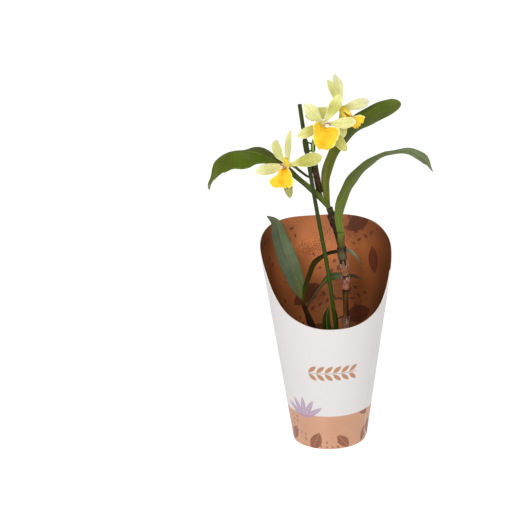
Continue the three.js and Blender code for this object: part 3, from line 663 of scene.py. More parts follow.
@dataclass(frozen=True)
class PrintedBoard(Finish):
    """Coated carton printed in flat inks: satin, with plain lancet leaves as its only motif.

    The sheet's "flat" attribute is a place on it unrolled, and "board" is the angle and the height.
    A print can carry painted light in a belt below the rim and painted shade towards the cone's sides.

    Attributes:
        ground: the ground colour.
        deep: the ground's darker tone, in slow patches.
        ink: the motif's colour.
        cell: distance between large leaves in millimetres.
        length: a large leaf's length.
        width: its half width.
        share: share of the cells that hold one.
        veins: how far its veins show the ground.
        spray: share of the small leaves between them.
        grain: share of fine speckle in drifts.
        paper: colour above the band, or none where the print covers the sheet.
        band: height of the band's top.
        sprig: colour of the sprig on the paper.
        fan: colour of the fan of leaves on the paper.
        glow: strength of the painted light in a belt below the rim, as brightness over the rest.
        painted_light_belt: heights at which that painted light starts, is full, begins to fade and ends.
        painted_side_shade: how far painted shade darkens the print towards the sides of the cone.
        painted_shade_span: degrees off its brightest line at which the painted shade begins and ends.
        back_turn: degrees by which that line is turned from the back.
        shadow: the colour of the painted shade.
    """

    ground: str
    deep: str
    ink: str
    cell: float
    length: float
    width: float
    share: float
    veins: float = 0.5
    spray: float = 0.3
    grain: float = 0.0
    paper: str = ""
    band: float = 45.5
    sprig: str = "#a97c5c"
    fan: str = "#a0839f"
    glow: float = 1.0
    painted_light_belt: tuple[float, ...] = (158.0, 196.0, 222.0, 250.0)
    painted_side_shade: float = 0.0
    painted_shade_span: tuple[float, float] = (12.0, 80.0)
    back_turn: float = 0.0
    shadow: str = "#3a1608"

    SPRIG = (5.0, 104.0)  # the sprig's middle: degrees to the right of the front, and height
    FAN = (-36.0, 40.0)  # the fan's foot in the same way

    def paint(self, tree: Tree) -> Node:
        """Lay the print's nodes and return its shader."""
        place = add(tree, "TexCoord").outputs["Object"]
        flat = add(tree, "Attribute", attribute_name="flat").outputs["Vector"]
        board = add(tree, "Attribute", attribute_name="board").outputs["Vector"]
        tone = add(tree, "TexNoise", Vector=place, Scale=1 / (40 * MM), Detail=3.0, Roughness=0.5)
        slow = add(tree, "MapRange", tone, 0.35, 0.65)
        ground = add(tree, "Mix.RGBA", slow, linear(self.ground), linear(self.deep))
        colour = add(tree, "Mix.RGBA", self.motif(tree, flat), ground, linear(self.ink))
        if self.paper:
            colour = self.over_paper(tree, board, colour)
        # painted light in a belt below the rim
        if self.glow > 1:
            colour = self.with_painted_light(tree, board, colour)
        # painted shade towards the cone's sides
        if self.painted_side_shade:
            colour = self.with_painted_shade(tree, board, colour)
        fibres = add(tree, "TexNoise", Vector=place, Scale=1 / (0.9 * MM), Detail=3.0, Roughness=0.6)
        bump = add(tree, "Bump", Strength=0.35, Distance=0.03 * MM, Height=fibres)
        dull = add(tree, "MapRange", fibres, To_Min=0.42, To_Max=0.56)
        return add(tree, "BsdfPrincipled", Base_Color=colour, Roughness=dull, Normal=bump)

    def motif(self, tree: Tree, flat: Socket) -> Node:
        """Mask of large leaves, sprays of small ones and fine speckle."""
        small_cell, spray_edge = self.cell / 5, 0.66 - 0.3 * self.spray
        large = add(tree, "Group", Place=flat, Cell=self.cell, Length=self.length, Width=self.width,
                    Share=self.share, Veins=self.veins, node_tree=lancet_group())
        small = add(tree, "Group", Place=flat, Cell=small_cell, Length=self.cell / 5.6,
                    Width=self.cell / 24, Share=0.8, Veins=0.3, node_tree=lancet_group())
        drift = add(tree, "TexNoise", Vector=flat, Scale=1 / self.cell, Detail=1.0)
        herd = add(tree, "MapRange", drift, spray_edge, spray_edge + 0.02)
        sprays = add(tree, "Math.MULTIPLY", small, herd)
        motif = add(tree, "Math.MAXIMUM", large, sprays)
        if not self.grain:
            return motif
        dot, gathering, edge = 1.5, 34.0, 1.22 - 0.2 * self.grain
        dots = add(tree, "TexNoise", Vector=flat, Scale=1 / dot, Detail=1.0)
        drifts = add(tree, "TexNoise", Vector=flat, Scale=1 / gathering, Detail=2.0)
        gathered = add(tree, "Math.MULTIPLY_ADD", drifts, 0.9, dots)
        speckle = add(tree, "MapRange", gathered, edge, edge + 0.05, To_Max=0.8)
        return add(tree, "Math.MAXIMUM", motif, speckle)

    def with_painted_light(self, tree: Tree, board: Socket, colour: Node) -> Node:
        """Brighten a print in a belt below the rim with painted light."""
        start, full, fade, end = self.painted_light_belt
        height = add(tree, "SeparateXYZ", board).outputs["Y"]
        below = add(tree, "MapRange", height, end, fade, To_Max=self.glow - 1,
                    interpolation_type="SMOOTHSTEP")
        above = add(tree, "MapRange", height, start, full, interpolation_type="SMOOTHSTEP")
        painted_light_gain = add(tree, "Math.MULTIPLY_ADD", below, above, 1.0)
        return add(tree, "VectorMath.SCALE", colour, painted_light_gain)

    def with_painted_shade(self, tree: Tree, board: Socket, colour: Node) -> Node:
        """Darken a print away from the back of the cone with painted shade."""
        angle = add(tree, "SeparateXYZ", board).outputs["X"]
        shifted = add(tree, "Math.ADD", angle, 180.0 + self.back_turn)
        turn = add(tree, "Math.ABSOLUTE", shifted)
        dark = add(tree, "MapRange", turn, *self.painted_shade_span, To_Max=self.painted_side_shade,
                   interpolation_type="SMOOTHSTEP")
        return add(tree, "Mix.RGBA", dark, colour, linear(self.shadow))

    def over_paper(self, tree: Tree, board: Socket, band: Node) -> Node:
        """Lay paper over all but the band, with a plain sprig and a fan of lancet leaves on it."""
        height = add(tree, "SeparateXYZ", board).outputs["Y"]
        above = add(tree, "MapRange", height, self.band - 0.1, self.band + 0.1)
        colour = add(tree, "Mix.RGBA", above, band, linear(self.paper))
        for mask, ink in ((self.sprig_mask(tree, board), self.sprig),
                          (self.fan_mask(tree, board), self.fan)):
            colour = add(tree, "Mix.RGBA", mask, colour, linear(ink))
        return colour

    def local(self, tree: Tree, board: Socket, angle: float, height: float) -> Node:
        """Place on the sheet in millimetres from a point at an angle and a height."""
        arc = math.radians(1) * (CartonSleeve.foot_radius + CartonSleeve.slope * height)
        moved = add(tree, "VectorMath.SUBTRACT", board, (angle, height, 0))
        return add(tree, "VectorMath.MULTIPLY", moved, (arc, 1.0, 0.0))

    def sprig_mask(self, tree: Tree, board: Socket) -> Node:
        """Mask of a level sprig: a stem with pairs of slanting leaves."""
        half_length, pitch, leaf_length, leaf_width, lift = 30.0, 10.0, 13.5, 2.7, 5.2
        slant, stem_edge = math.radians(48), (0.25, 0.45)
        here = self.local(tree, board, *self.SPRIG)
        level, upright, _ = add(tree, "SeparateXYZ", here).outputs
        off = add(tree, "Math.ABSOLUTE", upright)
        step = add(tree, "Math.FLOORED_MODULO", level, pitch)
        leaf = add(tree, "CombineXYZ", step, off)
        moved = add(tree, "VectorMath.SUBTRACT", leaf, (pitch / 2, lift, 0))
        turned = add(tree, "VectorRotate", Vector=moved, Angle=slant, rotation_type="Z_AXIS")
        across, along_it, _ = add(tree, "SeparateXYZ", turned).outputs
        part = add(tree, "Math.MULTIPLY", along_it, 1 / leaf_length)
        aside = add(tree, "Math.ABSOLUTE", across)
        leaves = lancet(tree, part, aside, leaf_width, 0.2)
        stem = add(tree, "MapRange", off, *stem_edge, 1.0, 0.0)
        both = add(tree, "Math.MAXIMUM", leaves, stem)
        reach = add(tree, "Math.ABSOLUTE", level)
        near = add(tree, "Math.LESS_THAN", reach, half_length)
        return add(tree, "Math.MULTIPLY", both, near)

    def fan_mask(self, tree: Tree, board: Socket) -> Node:
        """Mask of a fan of lancet leaves that spread from one foot."""
        reach, leaf_width, spread, half_fan = 30.0, 3.4, math.radians(27), math.radians(70.2)
        ink_share, spine_share, spine_edge = 0.85, 0.55, (0.15, 0.5)
        here = self.local(tree, board, *self.FAN)
        level, upright, _ = add(tree, "SeparateXYZ", here).outputs
        angle = add(tree, "Math.ARCTAN2", level, upright)
        shifted = add(tree, "Math.ADD", angle, spread / 2)
        step = add(tree, "Math.FLOORED_MODULO", shifted, spread)
        aside = add(tree, "Math.SUBTRACT", step, spread / 2)
        radius = add(tree, "VectorMath.LENGTH", here)
        swung = add(tree, "Math.MULTIPLY", aside, radius)
        off = add(tree, "Math.ABSOLUTE", swung)
        part = add(tree, "Math.MULTIPLY_ADD", radius, 1 / reach, -0.5)
        leaves = lancet(tree, part, off, leaf_width, 0.3)
        spine = add(tree, "MapRange", off, *spine_edge, ink_share * spine_share, ink_share)
        drawn = add(tree, "Math.MULTIPLY", leaves, spine)
        wide = add(tree, "Math.ABSOLUTE", angle)
        near = add(tree, "Math.LESS_THAN", wide, half_fan)
        return add(tree, "Math.MULTIPLY", drawn, near)


@dataclass(frozen=True)
class PaleFloor(Finish):
    """Light table under the plant: matt white acrylic, lit from below so that shadows stay faint."""

    label: str = "light_table"

    def paint(self, tree: Tree) -> Node:
        """Lay the table's nodes and return its shader."""
        return add(tree, "BsdfPrincipled", Base_Color=linear("#c4c4c4"), Roughness=0.95,
                   Specular_IOR_Level=0.1, Emission_Color=linear("#ffffff"), Emission_Strength=0.79)


# ---- carton, pot and bark ----


@dataclass
class CartonSleeve:
    """Conical carton wrap: one printed sheet rolled round, with a lap at the right.

    Attributes:
        foot_radius: outer radius at the ground.
        slope: growth of that radius for each millimetre of height.
        board: thickness of the sheet.
        rim_turn: degrees by which the rim's low point is turned to the right of the front.
        rim: the rim's heights by the angle from that point, alike on both sides.
        seam_start: degrees to the right of the front where the inner layer begins.
        seam_lap: degrees of overlap.
        flap_foot: height at which the outer layer's free corner starts.
        ramp: degrees over which the outer layer rises off the inner one.
        skived: degrees over which its free edge is pressed thin.
        columns: stretches of the mesh round the sheet.
        rows: stretches of the mesh up the sheet.
    """

    foot_radius: float = 44.8
    slope: float = 0.1443
    board: float = 0.8
    rim_turn: float = 8.0
    rim: tuple[tuple[float, float], ...] = (
        (0, 162.5), (20, 164), (40, 171), (55, 181), (70, 200), (82, 222), (95, 240), (110, 250),
        (128, 257.5), (150, 260.5), (180, 259.5))
    seam_start: float = 62.0
    seam_lap: float = 24.0
    flap_foot: float = 14.0
    ramp: float = 30.0
    skived: float = 4.0
    columns: int = 320
    rows: int = 30

    PRESSED = 0.7  # share of its thickness that the free edge loses
    LAP_GAP = 0.1  # clearance between the two layers

    def rim_height(self, angle: np.ndarray) -> np.ndarray:
        """Height of the rim at angles in degrees to the right of the front."""
        (_, before), (_, after) = self.rim[1], self.rim[-2]
        mirrored = [(-20, before), *self.rim, (210, after)]
        curve = Line([(a, h, 0) for a, h in mirrored]).dense
        turn = np.abs((angle - self.rim_turn + 540) % 360 - 180)
        return np.interp(turn, curve[:, 0], curve[:, 1])

    def build(self) -> None:
        """Build the sheet, its printed faces and its cut edges."""
        run = np.linspace(0, 360 + self.seam_lap, self.columns + 1)[:, None]
        angle = self.seam_start + self.seam_lap - run
        edge = ease((run - 360 - self.seam_lap + self.skived) / self.skived)
        thick = self.board * (1 - self.PRESSED * edge)
        off = ease((run - 360 + self.ramp) / (self.ramp - 2)) * (thick + self.LAP_GAP)
        foot = np.clip((run - 360) / self.seam_lap, 0, 1) * self.flap_foot
        z = foot + (self.rim_height(angle) - foot) * np.linspace(0, 1, self.rows + 1)
        sine, cosine = np.sin(np.radians(angle)), np.cos(np.radians(angle))

        def layer(radius: np.ndarray) -> np.ndarray:
            """Points of the sheet at a radius."""
            return np.stack([sine * radius, -cosine * radius, z], -1)

        outer = self.foot_radius + self.slope * z + off
        points = np.concatenate([layer(outer).reshape(-1, 3), layer(outer - thick).reshape(-1, 3)])
        cone = math.atan(self.slope)
        reach, swing = outer / math.sin(cone), np.radians(angle) * math.sin(cone)
        flat = np.stack([reach * np.sin(swing), reach * np.cos(swing), 0 * z], -1).reshape(-1, 3)
        board = np.stack([angle + 0 * z, z, 0 * z], -1).reshape(-1, 3)
        ids = np.arange(z.size).reshape(z.shape)
        inside = ids + z.size
        faces = quads(ids) + quads(inside[::-1])
        parts = [0] * (len(faces) // 2) + [1] * (len(faces) // 2)
        for a, b in ((ids[:, 0], inside[:, 0]), (ids[:, -1], inside[:, -1]), (ids[0], inside[0]),
                     (ids[-1], inside[-1])):
            edge = quads(np.stack([a, b]))
            faces += edge
            parts += [2] * len(edge)
        shape = Shape(points, faces, {"flat": np.vstack([flat, flat]), "board": np.vstack([board, board])},
                      parts)
        piece = shape.make("printed_carton_sleeve", sharp=35)
        settle(piece, Slot.CARTON, (
            PrintedBoard("coated_carton_print", ground="#c49477", deep="#bb8a6c", ink="#80482f",
                         cell=34, length=31, width=8, share=0.45, paper="#d0cccb"),
            # The lining has painted light below the rim (glow) and painted shade towards its sides.
            PrintedBoard("copper_carton_lining", ground="#c97841", deep="#b56834", ink="#74381f",
                         cell=52, length=48, width=12, share=0.5, veins=0.35, spray=0.5, grain=0.5,
                         glow=1.4, painted_side_shade=0.88, back_turn=-7),
            RawBoard()), "carton_sleeve")


@dataclass
class GrowPot:
    """Thin plastic pot that stands in the sleeve, with the bark bed in it.

    Attributes:
        foot: height of its underside.
        base_radius: outer radius at the foot.
        body_top: height where the rim begins.
        top: height of the rim.
        rim_radius: outer radius of the rim.
        step: how far the rim stands out from the body.
        wall: thickness of the wall.
        floor: thickness of the floor.
        holes: number of drain holes.
        hole_radius: their radius.
        hole_circle: radius of the circle they lie on.
        bark_top: height of the bark's crown.
    """

    foot: float = 1.55
    base_radius: float = 42.6
    body_top: float = 96.0
    top: float = 107.0
    rim_radius: float = 57.6
    step: float = 2.2
    wall: float = 1.4
    floor: float = 2.0
    holes: int = 6
    hole_radius: float = 4.0
    hole_circle: float = 30.0
    bark_top: float = 99.0

    SIDES = 128
    FOOT_BEVEL, RIM_BEVEL, RIM_CORNER = 0.8, 0.4, 0.5
    LUMP, LUMP_REACH, LUMP_FOOT = 0.5, 50, 90  # size of the mound's lumps, and where they are
    CROWN_DROP, CROWN_SLOPE, CROWN_RADIUS = 1.6, 3.4, 52
    PATCH = (16, 28, 37, 43)  # radii of the rings of the patch on which loose chips lie

    def radius(self, z: float) -> float:
        """Outer radius of the pot's body at a height."""
        share = (z - self.foot) / (self.body_top - self.foot)
        return self.base_radius + (self.rim_radius - self.step - self.base_radius) * share

    def build(self) -> None:
        """Build the pot with its drain holes."""
        inside, bevel, corner = self.foot + self.floor, self.RIM_BEVEL, self.RIM_CORNER
        rim, inner_rim = self.rim_radius, self.rim_radius - self.wall
        profile = [(0, self.foot), (self.base_radius - self.FOOT_BEVEL, self.foot),
                   (self.base_radius, self.foot + self.FOOT_BEVEL),
                   (self.radius(self.body_top), self.body_top), (rim - bevel, self.body_top + bevel),
                   (rim, self.body_top + 1), (rim, self.top - corner), (rim - corner, self.top),
                   (inner_rim + bevel, self.top), (inner_rim, self.top - bevel),
                   (inner_rim, self.body_top + 2), (self.radius(self.body_top) - self.wall, self.body_top),
                   (self.radius(inside) - self.wall, inside), (0, inside)]
        pot = lathe(profile, self.SIDES).make("thin_grow_pot", sharp=30)
        cutters = Shape(np.empty((0, 3)), [])
        for i in range(self.holes):
            turn = (i + 0.5) * TURN / self.holes
            foot = self.hole_circle * math.sin(turn), -self.hole_circle * math.cos(turn), 0
            drill = [(0, -1), (self.hole_radius, -1), (self.hole_radius, inside + 1), (0, inside + 1)]
            cutters = cutters.joined(lathe(drill, 24, foot))
        drills = cutters.make("drills")
        cut = pot.modifiers.new("drain_holes", "BOOLEAN")
        cut.object = drills
        cut.solver = "EXACT"
        applied(pot)
        bpy.data.objects.remove(drills)
        settle(pot, Slot.POT, (PotPlastic(),), "grow_pot")

    def build_bark(self) -> None:
        """Build the bark: a low mound in the pot and loose chips on it."""
        floor, loops, sides, patch_sides = self.foot + self.floor + GAP, 26, 96, 48
        side = [(self.radius(z) - self.wall - GAP, z) for z in (floor, 50, self.body_top - 3)]
        crown = [(r, self.crown(r)) for r in np.linspace(side[-1][0] - 1, 0, loops)]
        bed = lathe([(0, floor), *side, *crown], sides)
        x, y, z = bed.points.T
        lumps = ripple(x / 7, 5) + ripple(y / 6, 8)
        z += np.where((z > self.LUMP_FOOT) & (np.hypot(x, y) < self.LUMP_REACH), self.LUMP * lumps, 0)
        settle(bed.make("bark_mound"), Slot.BARK, (BarkChip(),), "bark_bed")
        rings = [(r, self.crown(r)) for r in self.PATCH]
        chips = lathe([(0.1, self.bark_top - 1.2), *rings], patch_sides)
        chips.faces = chips.faces[:-patch_sides]  # without the last band, which would close it below
        settle(scatter_bark(chips.make("bark_chips")), Slot.BARK, (BarkChip(),))

    def crown(self, radius: float) -> float:
        """Height of the mound at a distance from its middle."""
        drop = self.CROWN_DROP + self.CROWN_SLOPE * (radius / self.CROWN_RADIUS) ** 2
        return self.bark_top - drop


def applied(piece: bpy.types.Object) -> bpy.types.Object:
    """The same object with its modifiers applied."""
    depsgraph = bpy.context.evaluated_depsgraph_get()
    piece.data = bpy.data.meshes.new_from_object(piece.evaluated_get(depsgraph))
    piece.modifiers.clear()
    return piece


def scatter_bark(ground: bpy.types.Object) -> bpy.types.Object:
    """Turn a patch of ground to loose bark chips by Geometry Nodes.

    Args:
        ground: the surface on which the chips lie.

    Returns:
        The same object, now a plain mesh of chips.
    """
    tilt, full_turn, largest_scale, palest, shift_gain = 0.6, 6.28, 1.25, 0.8, 2.0
    sizes = {"Chips per square metre": 42000.0, "Chip size": Vector((14.0, 9.0, 4.4)) * MM,
             "Least scale": 0.55, "Roughness of chips": 1.6 * MM, "Seed": 11}
    kinds = {float: "NodeSocketFloat", int: "NodeSocketInt", Vector: "NodeSocketVector"}
    tree = bpy.data.node_groups.new("bark_scatter", "GeometryNodeTree")
    tree.interface.new_socket("Geometry", in_out="INPUT", socket_type="NodeSocketGeometry")
    ids = {name: tree.interface.new_socket(name, in_out="INPUT", socket_type=kinds[type(value)]).identifier
           for name, value in sizes.items()}
    tree.interface.new_socket("Geometry", in_out="OUTPUT", socket_type="NodeSocketGeometry")
    given = add(tree, "NodeGroupInput").outputs
    spots = add(tree, "GeometryNodeDistributePointsOnFaces", Mesh=given["Geometry"],
                Density=given["Chips per square metre"], Seed=given["Seed"])
    chip = add(tree, "GeometryNodeMeshCube", Size=given["Chip size"], Vertices_X=4, Vertices_Y=3,
               Vertices_Z=2)
    turn = add(tree, "FunctionNodeRandomValue", (-tilt, -tilt, 0.0), (tilt, tilt, full_turn),
               Seed=given["Seed"], data_type="FLOAT_VECTOR")
    scale = add(tree, "FunctionNodeRandomValue", given["Least scale"], largest_scale,
                Seed=given["Seed"], data_type="FLOAT")
    laid = add(tree, "GeometryNodeInstanceOnPoints", Points=spots, Instance=chip, Rotation=turn,
               Scale=scale)
    shade_draw = add(tree, "FunctionNodeRandomValue", 0.0, palest, Seed=4, data_type="FLOAT")
    tinted = add(tree, "GeometryNodeStoreNamedAttribute", Geometry=laid, Name="tint", Value=shade_draw,
                 domain="INSTANCE", data_type="FLOAT")
    loose = add(tree, "GeometryNodeRealizeInstances", Geometry=tinted)
    place = add(tree, "GeometryNodeInputPosition")
    noise = add(tree, "TexNoise", Vector=place, Scale=1 / (4 * MM), Detail=2.0)
    centred = add(tree, "VectorMath.SUBTRACT", noise.outputs["Color"], (0.5, 0.5, 0.5))
    shift = add(tree, "VectorMath.SCALE", centred, given["Roughness of chips"])
    bigger = add(tree, "VectorMath.SCALE", shift, shift_gain)
    broken = add(tree, "GeometryNodeSetPosition", Geometry=loose, Offset=bigger)
    dressed = add(tree, "GeometryNodeSetMaterial", Geometry=broken, Material=BarkChip().material())
    add(tree, "NodeGroupOutput", Geometry=dressed)
    scatter = ground.modifiers.new("bark_scatter", "NODES")
    scatter.node_group = tree
    for name, value in sizes.items():
        scatter[ids[name]] = value
    return applied(ground)


def build_base() -> None:
    """Build the round carton bottom of the sleeve."""
    thickness, soft = 1.2, 0.25
    low = CartonSleeve.foot_radius - CartonSleeve.board - GAP
    high = low + CartonSleeve.slope * thickness
    shape = lathe([(0, 0), (low - soft, 0), (low, soft), (high, thickness - soft),
                   (high - soft, thickness), (0, thickness)], 128)
    settle(shape.make("carton_bottom", sharp=30), Slot.CARTON,
           (RawBoard("grey_carton_bottom", colour="#d8d0c4", fleck="#b7ab9b"),), "sleeve_base")


# ---- stick, clip, canes and sheaths ----

STICK_RADIUS = 2.45
STEM_RADIUS = 1.6
STICK_LINE = ((16.2, -12, 95), (9.9, -12, 144.3), (2.0, -12, 211.7), (-13.4, -12, 309.6),
              (-22.2, -12, 372), (-28.3, -12, 419.4))
FLOWER_STEM_LINE = ((-4.2, 6.6, 302.5), (-7.1, 4, 312.4), (-9.8, 0, 328.2), (-12.7, -5, 346.5),
                    (-13.9, -8.4, 361), (-13.2, -9.7, 375.3), (-10.5, -7.4, 385.4), (-7.5, -4.6, 391))
RHIZOME_RADIUS = 3.6
RHIZOME_HEIGHT = GrowPot.bark_top + RHIZOME_RADIUS + GAP
CANE_FOOT = RHIZOME_HEIGHT + RHIZOME_RADIUS + GAP
FRONT_CANE_LINE = ((22.4, -1, CANE_FOOT), (22.6, -2, 140.4), (21.5, -2, 155.9), (22.4, -2.5, 190.5),
                   (22.0, -3, 208.3), (18.9, -3.5, 228.7), (17.7, -4, 246.3), (17.1, -4, 262))
BACK_CANE_LINE = ((22.8, 15, CANE_FOOT), (22.6, 16, 149.4), (20.8, 15, 202.4), (16.9, 13, 239.8),
                  (11.7, 10.5, 262), (8.0, 9.5, 276.2), (4.2, 8.2, 289))
LEFT_CANE_LINE = ((-14.5, 5, CANE_FOOT), (-19.2, 4, 138.9), (-23.8, 3, 154.8), (-28.1, 2, 168.1),
                  (-29.3, 1.2, 176.9))


@dataclass
class Stem:
    """Round stem: cane, flower stem, stick, root or creeping stem.

    Attributes:
        name: the piece's name.
        line: points of its middle.
        radii: radii, evenly spaced from the foot to the top.
        skin: sRGB hex colours by the share of the length at which they lie.
        joints: shares of its length at which it has a ring.
        ring: how far a ring stands out.
        ribs: ribs round it.
        rib_depth: depth of the grooves between them.
        wander: how far its outline wanders.
        seed: picks the wander.
        loops: loops of the mesh.
        sides: sides of the mesh.
    """

    name: str
    line: Sequence[Point]
    radii: Row
    skin: dict[float, str]
    joints: Row = ()
    ring: float = 0.45
    ribs: int = 12
    rib_depth: float = 0.1
    wander: float = 0.08
    seed: int = 1
    loops: int = 120
    sides: int = 32

    TWIST = 0.004  # radians by which the ribs turn in a millimetre
    WANDER_LENGTH = 18
    RING_WIDTH = 0.6
    HOLLOW_PLACE, HOLLOW_WIDTH = 1.8, 1.1  # of the hollow above each ring

    def shape(self) -> Shape:
        """The stem's shape with its colours."""
        line = Line(self.line)
        t = np.linspace(0, 1, self.loops)
        angle = (np.arange(self.sides) * TURN / self.sides)[None]
        s = (t * line.length)[:, None]
        radius = along(self.radii, t)[:, None] + 0 * angle
        radius = radius - self.rib_depth * (0.5 + 0.5 * np.cos(self.ribs * angle + self.TWIST * s))
        radius = radius + self.wander * ripple(angle + s / self.WANDER_LENGTH, self.seed, 2, 5)
        for share in self.joints:
            away = s - share * line.length
            radius = radius + self.ring * bell(away, self.RING_WIDTH)
            radius = radius - 0.5 * self.ring * bell(away - self.HOLLOW_PLACE, self.HOLLOW_WIDTH)
        shares, colours = list(self.skin), tones(" ".join(self.skin.values()))
        rows = np.stack([np.interp(t, shares, channel) for channel in colours.T], -1)
        skin = np.repeat(rows[:, None], self.sides, 1)
        grow = np.stack([s + 0 * angle, radius * np.minimum(angle, TURN - angle), 0 * radius], -1)
        return tube(line, t, radius, {"skin": skin, "grow": grow})


@dataclass
class Sheath:
    """Papery sleeve round a cane: a thin rolled sheet with a torn rim.

    Attributes:
        name: the piece's name.
        line: points of the cane's middle.
        low: lowest height.
        high: highest height.
        inner: inner radius.
        wall: thickness.
        skin: colours from the foot to the rim.
        torn: how far the tears go down.
        flare: how far the rim stands off.
        crinkle: how far the sheet wanders in and out.
        seed: picks the tears.
    """

    name: str
    line: Sequence[Point]
    low: float
    high: float
    inner: float
    wall: float
    skin: str
    torn: float = 2.5
    flare: float = 0.3
    crinkle: float = 0.12
    seed: int = 3

    ROWS, COLUMNS = 40, 72
    WRAP = (-0.12, 1.03)  # turns at which the rolled sheet starts and ends
    LAP = 0.3  # how far its outer end lies over its inner one
    INSIDE = 0.8  # brightness of its inner side

    def shape(self) -> Shape:
        """The sheath's shape with its colours."""
        line = Line(self.line)
        start, end = line.at_height(self.low), line.at_height(self.high)
        turn = np.linspace(*self.WRAP, self.COLUMNS)[None] * TURN + self.seed
        up = np.linspace(0, 1, self.ROWS)[:, None]
        tears = np.abs(ripple(turn, self.seed, 1, 14)) * self.torn / line.length
        t = start + (end - tears - start) * up
        centre = line.at(t)
        normal, across = line.crossways(np.linspace(start, end, self.ROWS))
        lap = np.linspace(0, 1, self.COLUMNS)[None] * self.LAP
        wobble = self.crinkle * ripple(turn + up * 2, self.seed + 1, 2, 7) * (0.3 + up)
        radius = self.inner + lap + wobble + self.flare * up**3
        rim = normal[:, None] * np.cos(turn)[..., None] + across[:, None] * np.sin(turn)[..., None]
        skin = shade(self.skin, up + 0.25 * ripple(turn * 2, self.seed + 2) * up)
        grow = np.stack([t * line.length, radius * turn, 0 * t], -1)
        thick = self.wall * 0.6
        return sheet(centre + rim * (radius + thick)[..., None], centre + rim * radius[..., None],
                     {"skin": skin, "grow": grow}, {"skin": skin * self.INSIDE, "grow": grow})


@dataclass
class StemClip:
    """Twin ring clip: one ring on the stick, one on the flower stem, and two arms between them.

    Attributes:
        stick: foot and top of the stick's ring.
        stem: foot and top of the flower stem's ring.
    """

    stick: tuple[Point, Point] = ((-20.6, -12, 361.6), (-23.0, -12, 377.2))
    stem: tuple[Point, Point] = ((-13.8, -8.5, 362.2), (-13.35, -9.5, 373.4))

    COLOUR = "#384216"
    ARMS = (0.12, 0.84)  # shares of the rings' height at which the arms join them

    def jaw(self, ends: tuple[Point, Point], inner: float, wall: float, swell: float,
            opening: float) -> Shape:
        """One jaw: a ring with a slot in front, rounded edges and a swell at its middle."""
        rows, columns, corner, end_corner, swell_reach = 31, 61, 8, 14, 0.22
        low, high = np.array(ends)
        axis = high - low
        length = float(np.linalg.norm(axis))
        up = np.linspace(0, 1, rows)[:, None]
        v = np.linspace(-1, 1, columns)[None]
        turn = v * (math.pi - opening / 2) + math.pi
        full = 1 - np.abs(2 * up - 1) ** corner + 0 * v
        if opening:
            full = full * (1 - v**end_corner)
        thick = (wall + swell * ease((0.5 - np.abs(up - 0.5)) / swell_reach)) * np.sqrt(full)
        middle = inner + wall / 2
        normal, across = Line([low, high]).crossways(np.array([0.0]))
        way = normal[0] * np.cos(turn)[..., None] + across[0] * np.sin(turn)[..., None]
        centre = low + axis * up[..., None]
        skin = np.tile(tones(self.COLOUR)[0], (*thick.shape, 1))
        grow = np.stack([up * length + 0 * v, middle * turn + 0 * up, 0 * thick], -1)
        values = {"skin": skin, "grow": grow}
        outer = np.maximum(middle + thick - wall / 2, inner + 0.02)
        return sheet(centre + way * outer[..., None],
                     centre + way * np.maximum(middle - thick / 2, inner)[..., None], values, values)

    def build(self) -> None:
        """Build the clip as one piece."""
        shape = self.jaw(self.stick, STICK_RADIUS + GAP / 2, 0.6, 0.2, 0.0)
        shape = shape.joined(self.jaw(self.stem, STEM_RADIUS + GAP / 2, 0.8, 0.1, 2.0))
        for share in self.ARMS:
            stick, stem = (low + (high - low) * share for low, high in np.array([self.stick, self.stem]))
            way = unit(stem - stick)
            start = stick + way * (STICK_RADIUS + GAP + 0.4)
            end = stem - way * (STEM_RADIUS + 2 * GAP + 0.3)
            arm = Stem("arm", [start, (start + end) / 2, end], (1.1, 0.9, 1.1),
                       {0: self.COLOUR, 1: "#3c481a"}, wander=0, rib_depth=0, loops=8, sides=16)
            shape = shape.joined(arm.shape())
        settle(shape.make("twin_ring_clip", sharp=40), Slot.CLIP, (CLIP_PLASTIC,), "stem_clip")


def build_parts(parts: Sequence[tuple[Slot, Tissue, str, Stem | Sheath]]) -> None:
    """Build stems or sheaths, each in its slot and finish and in the place of its node."""
    for slot, skin, node, part in parts:
        settle(part.shape().make(part.name), slot, (skin,), node)


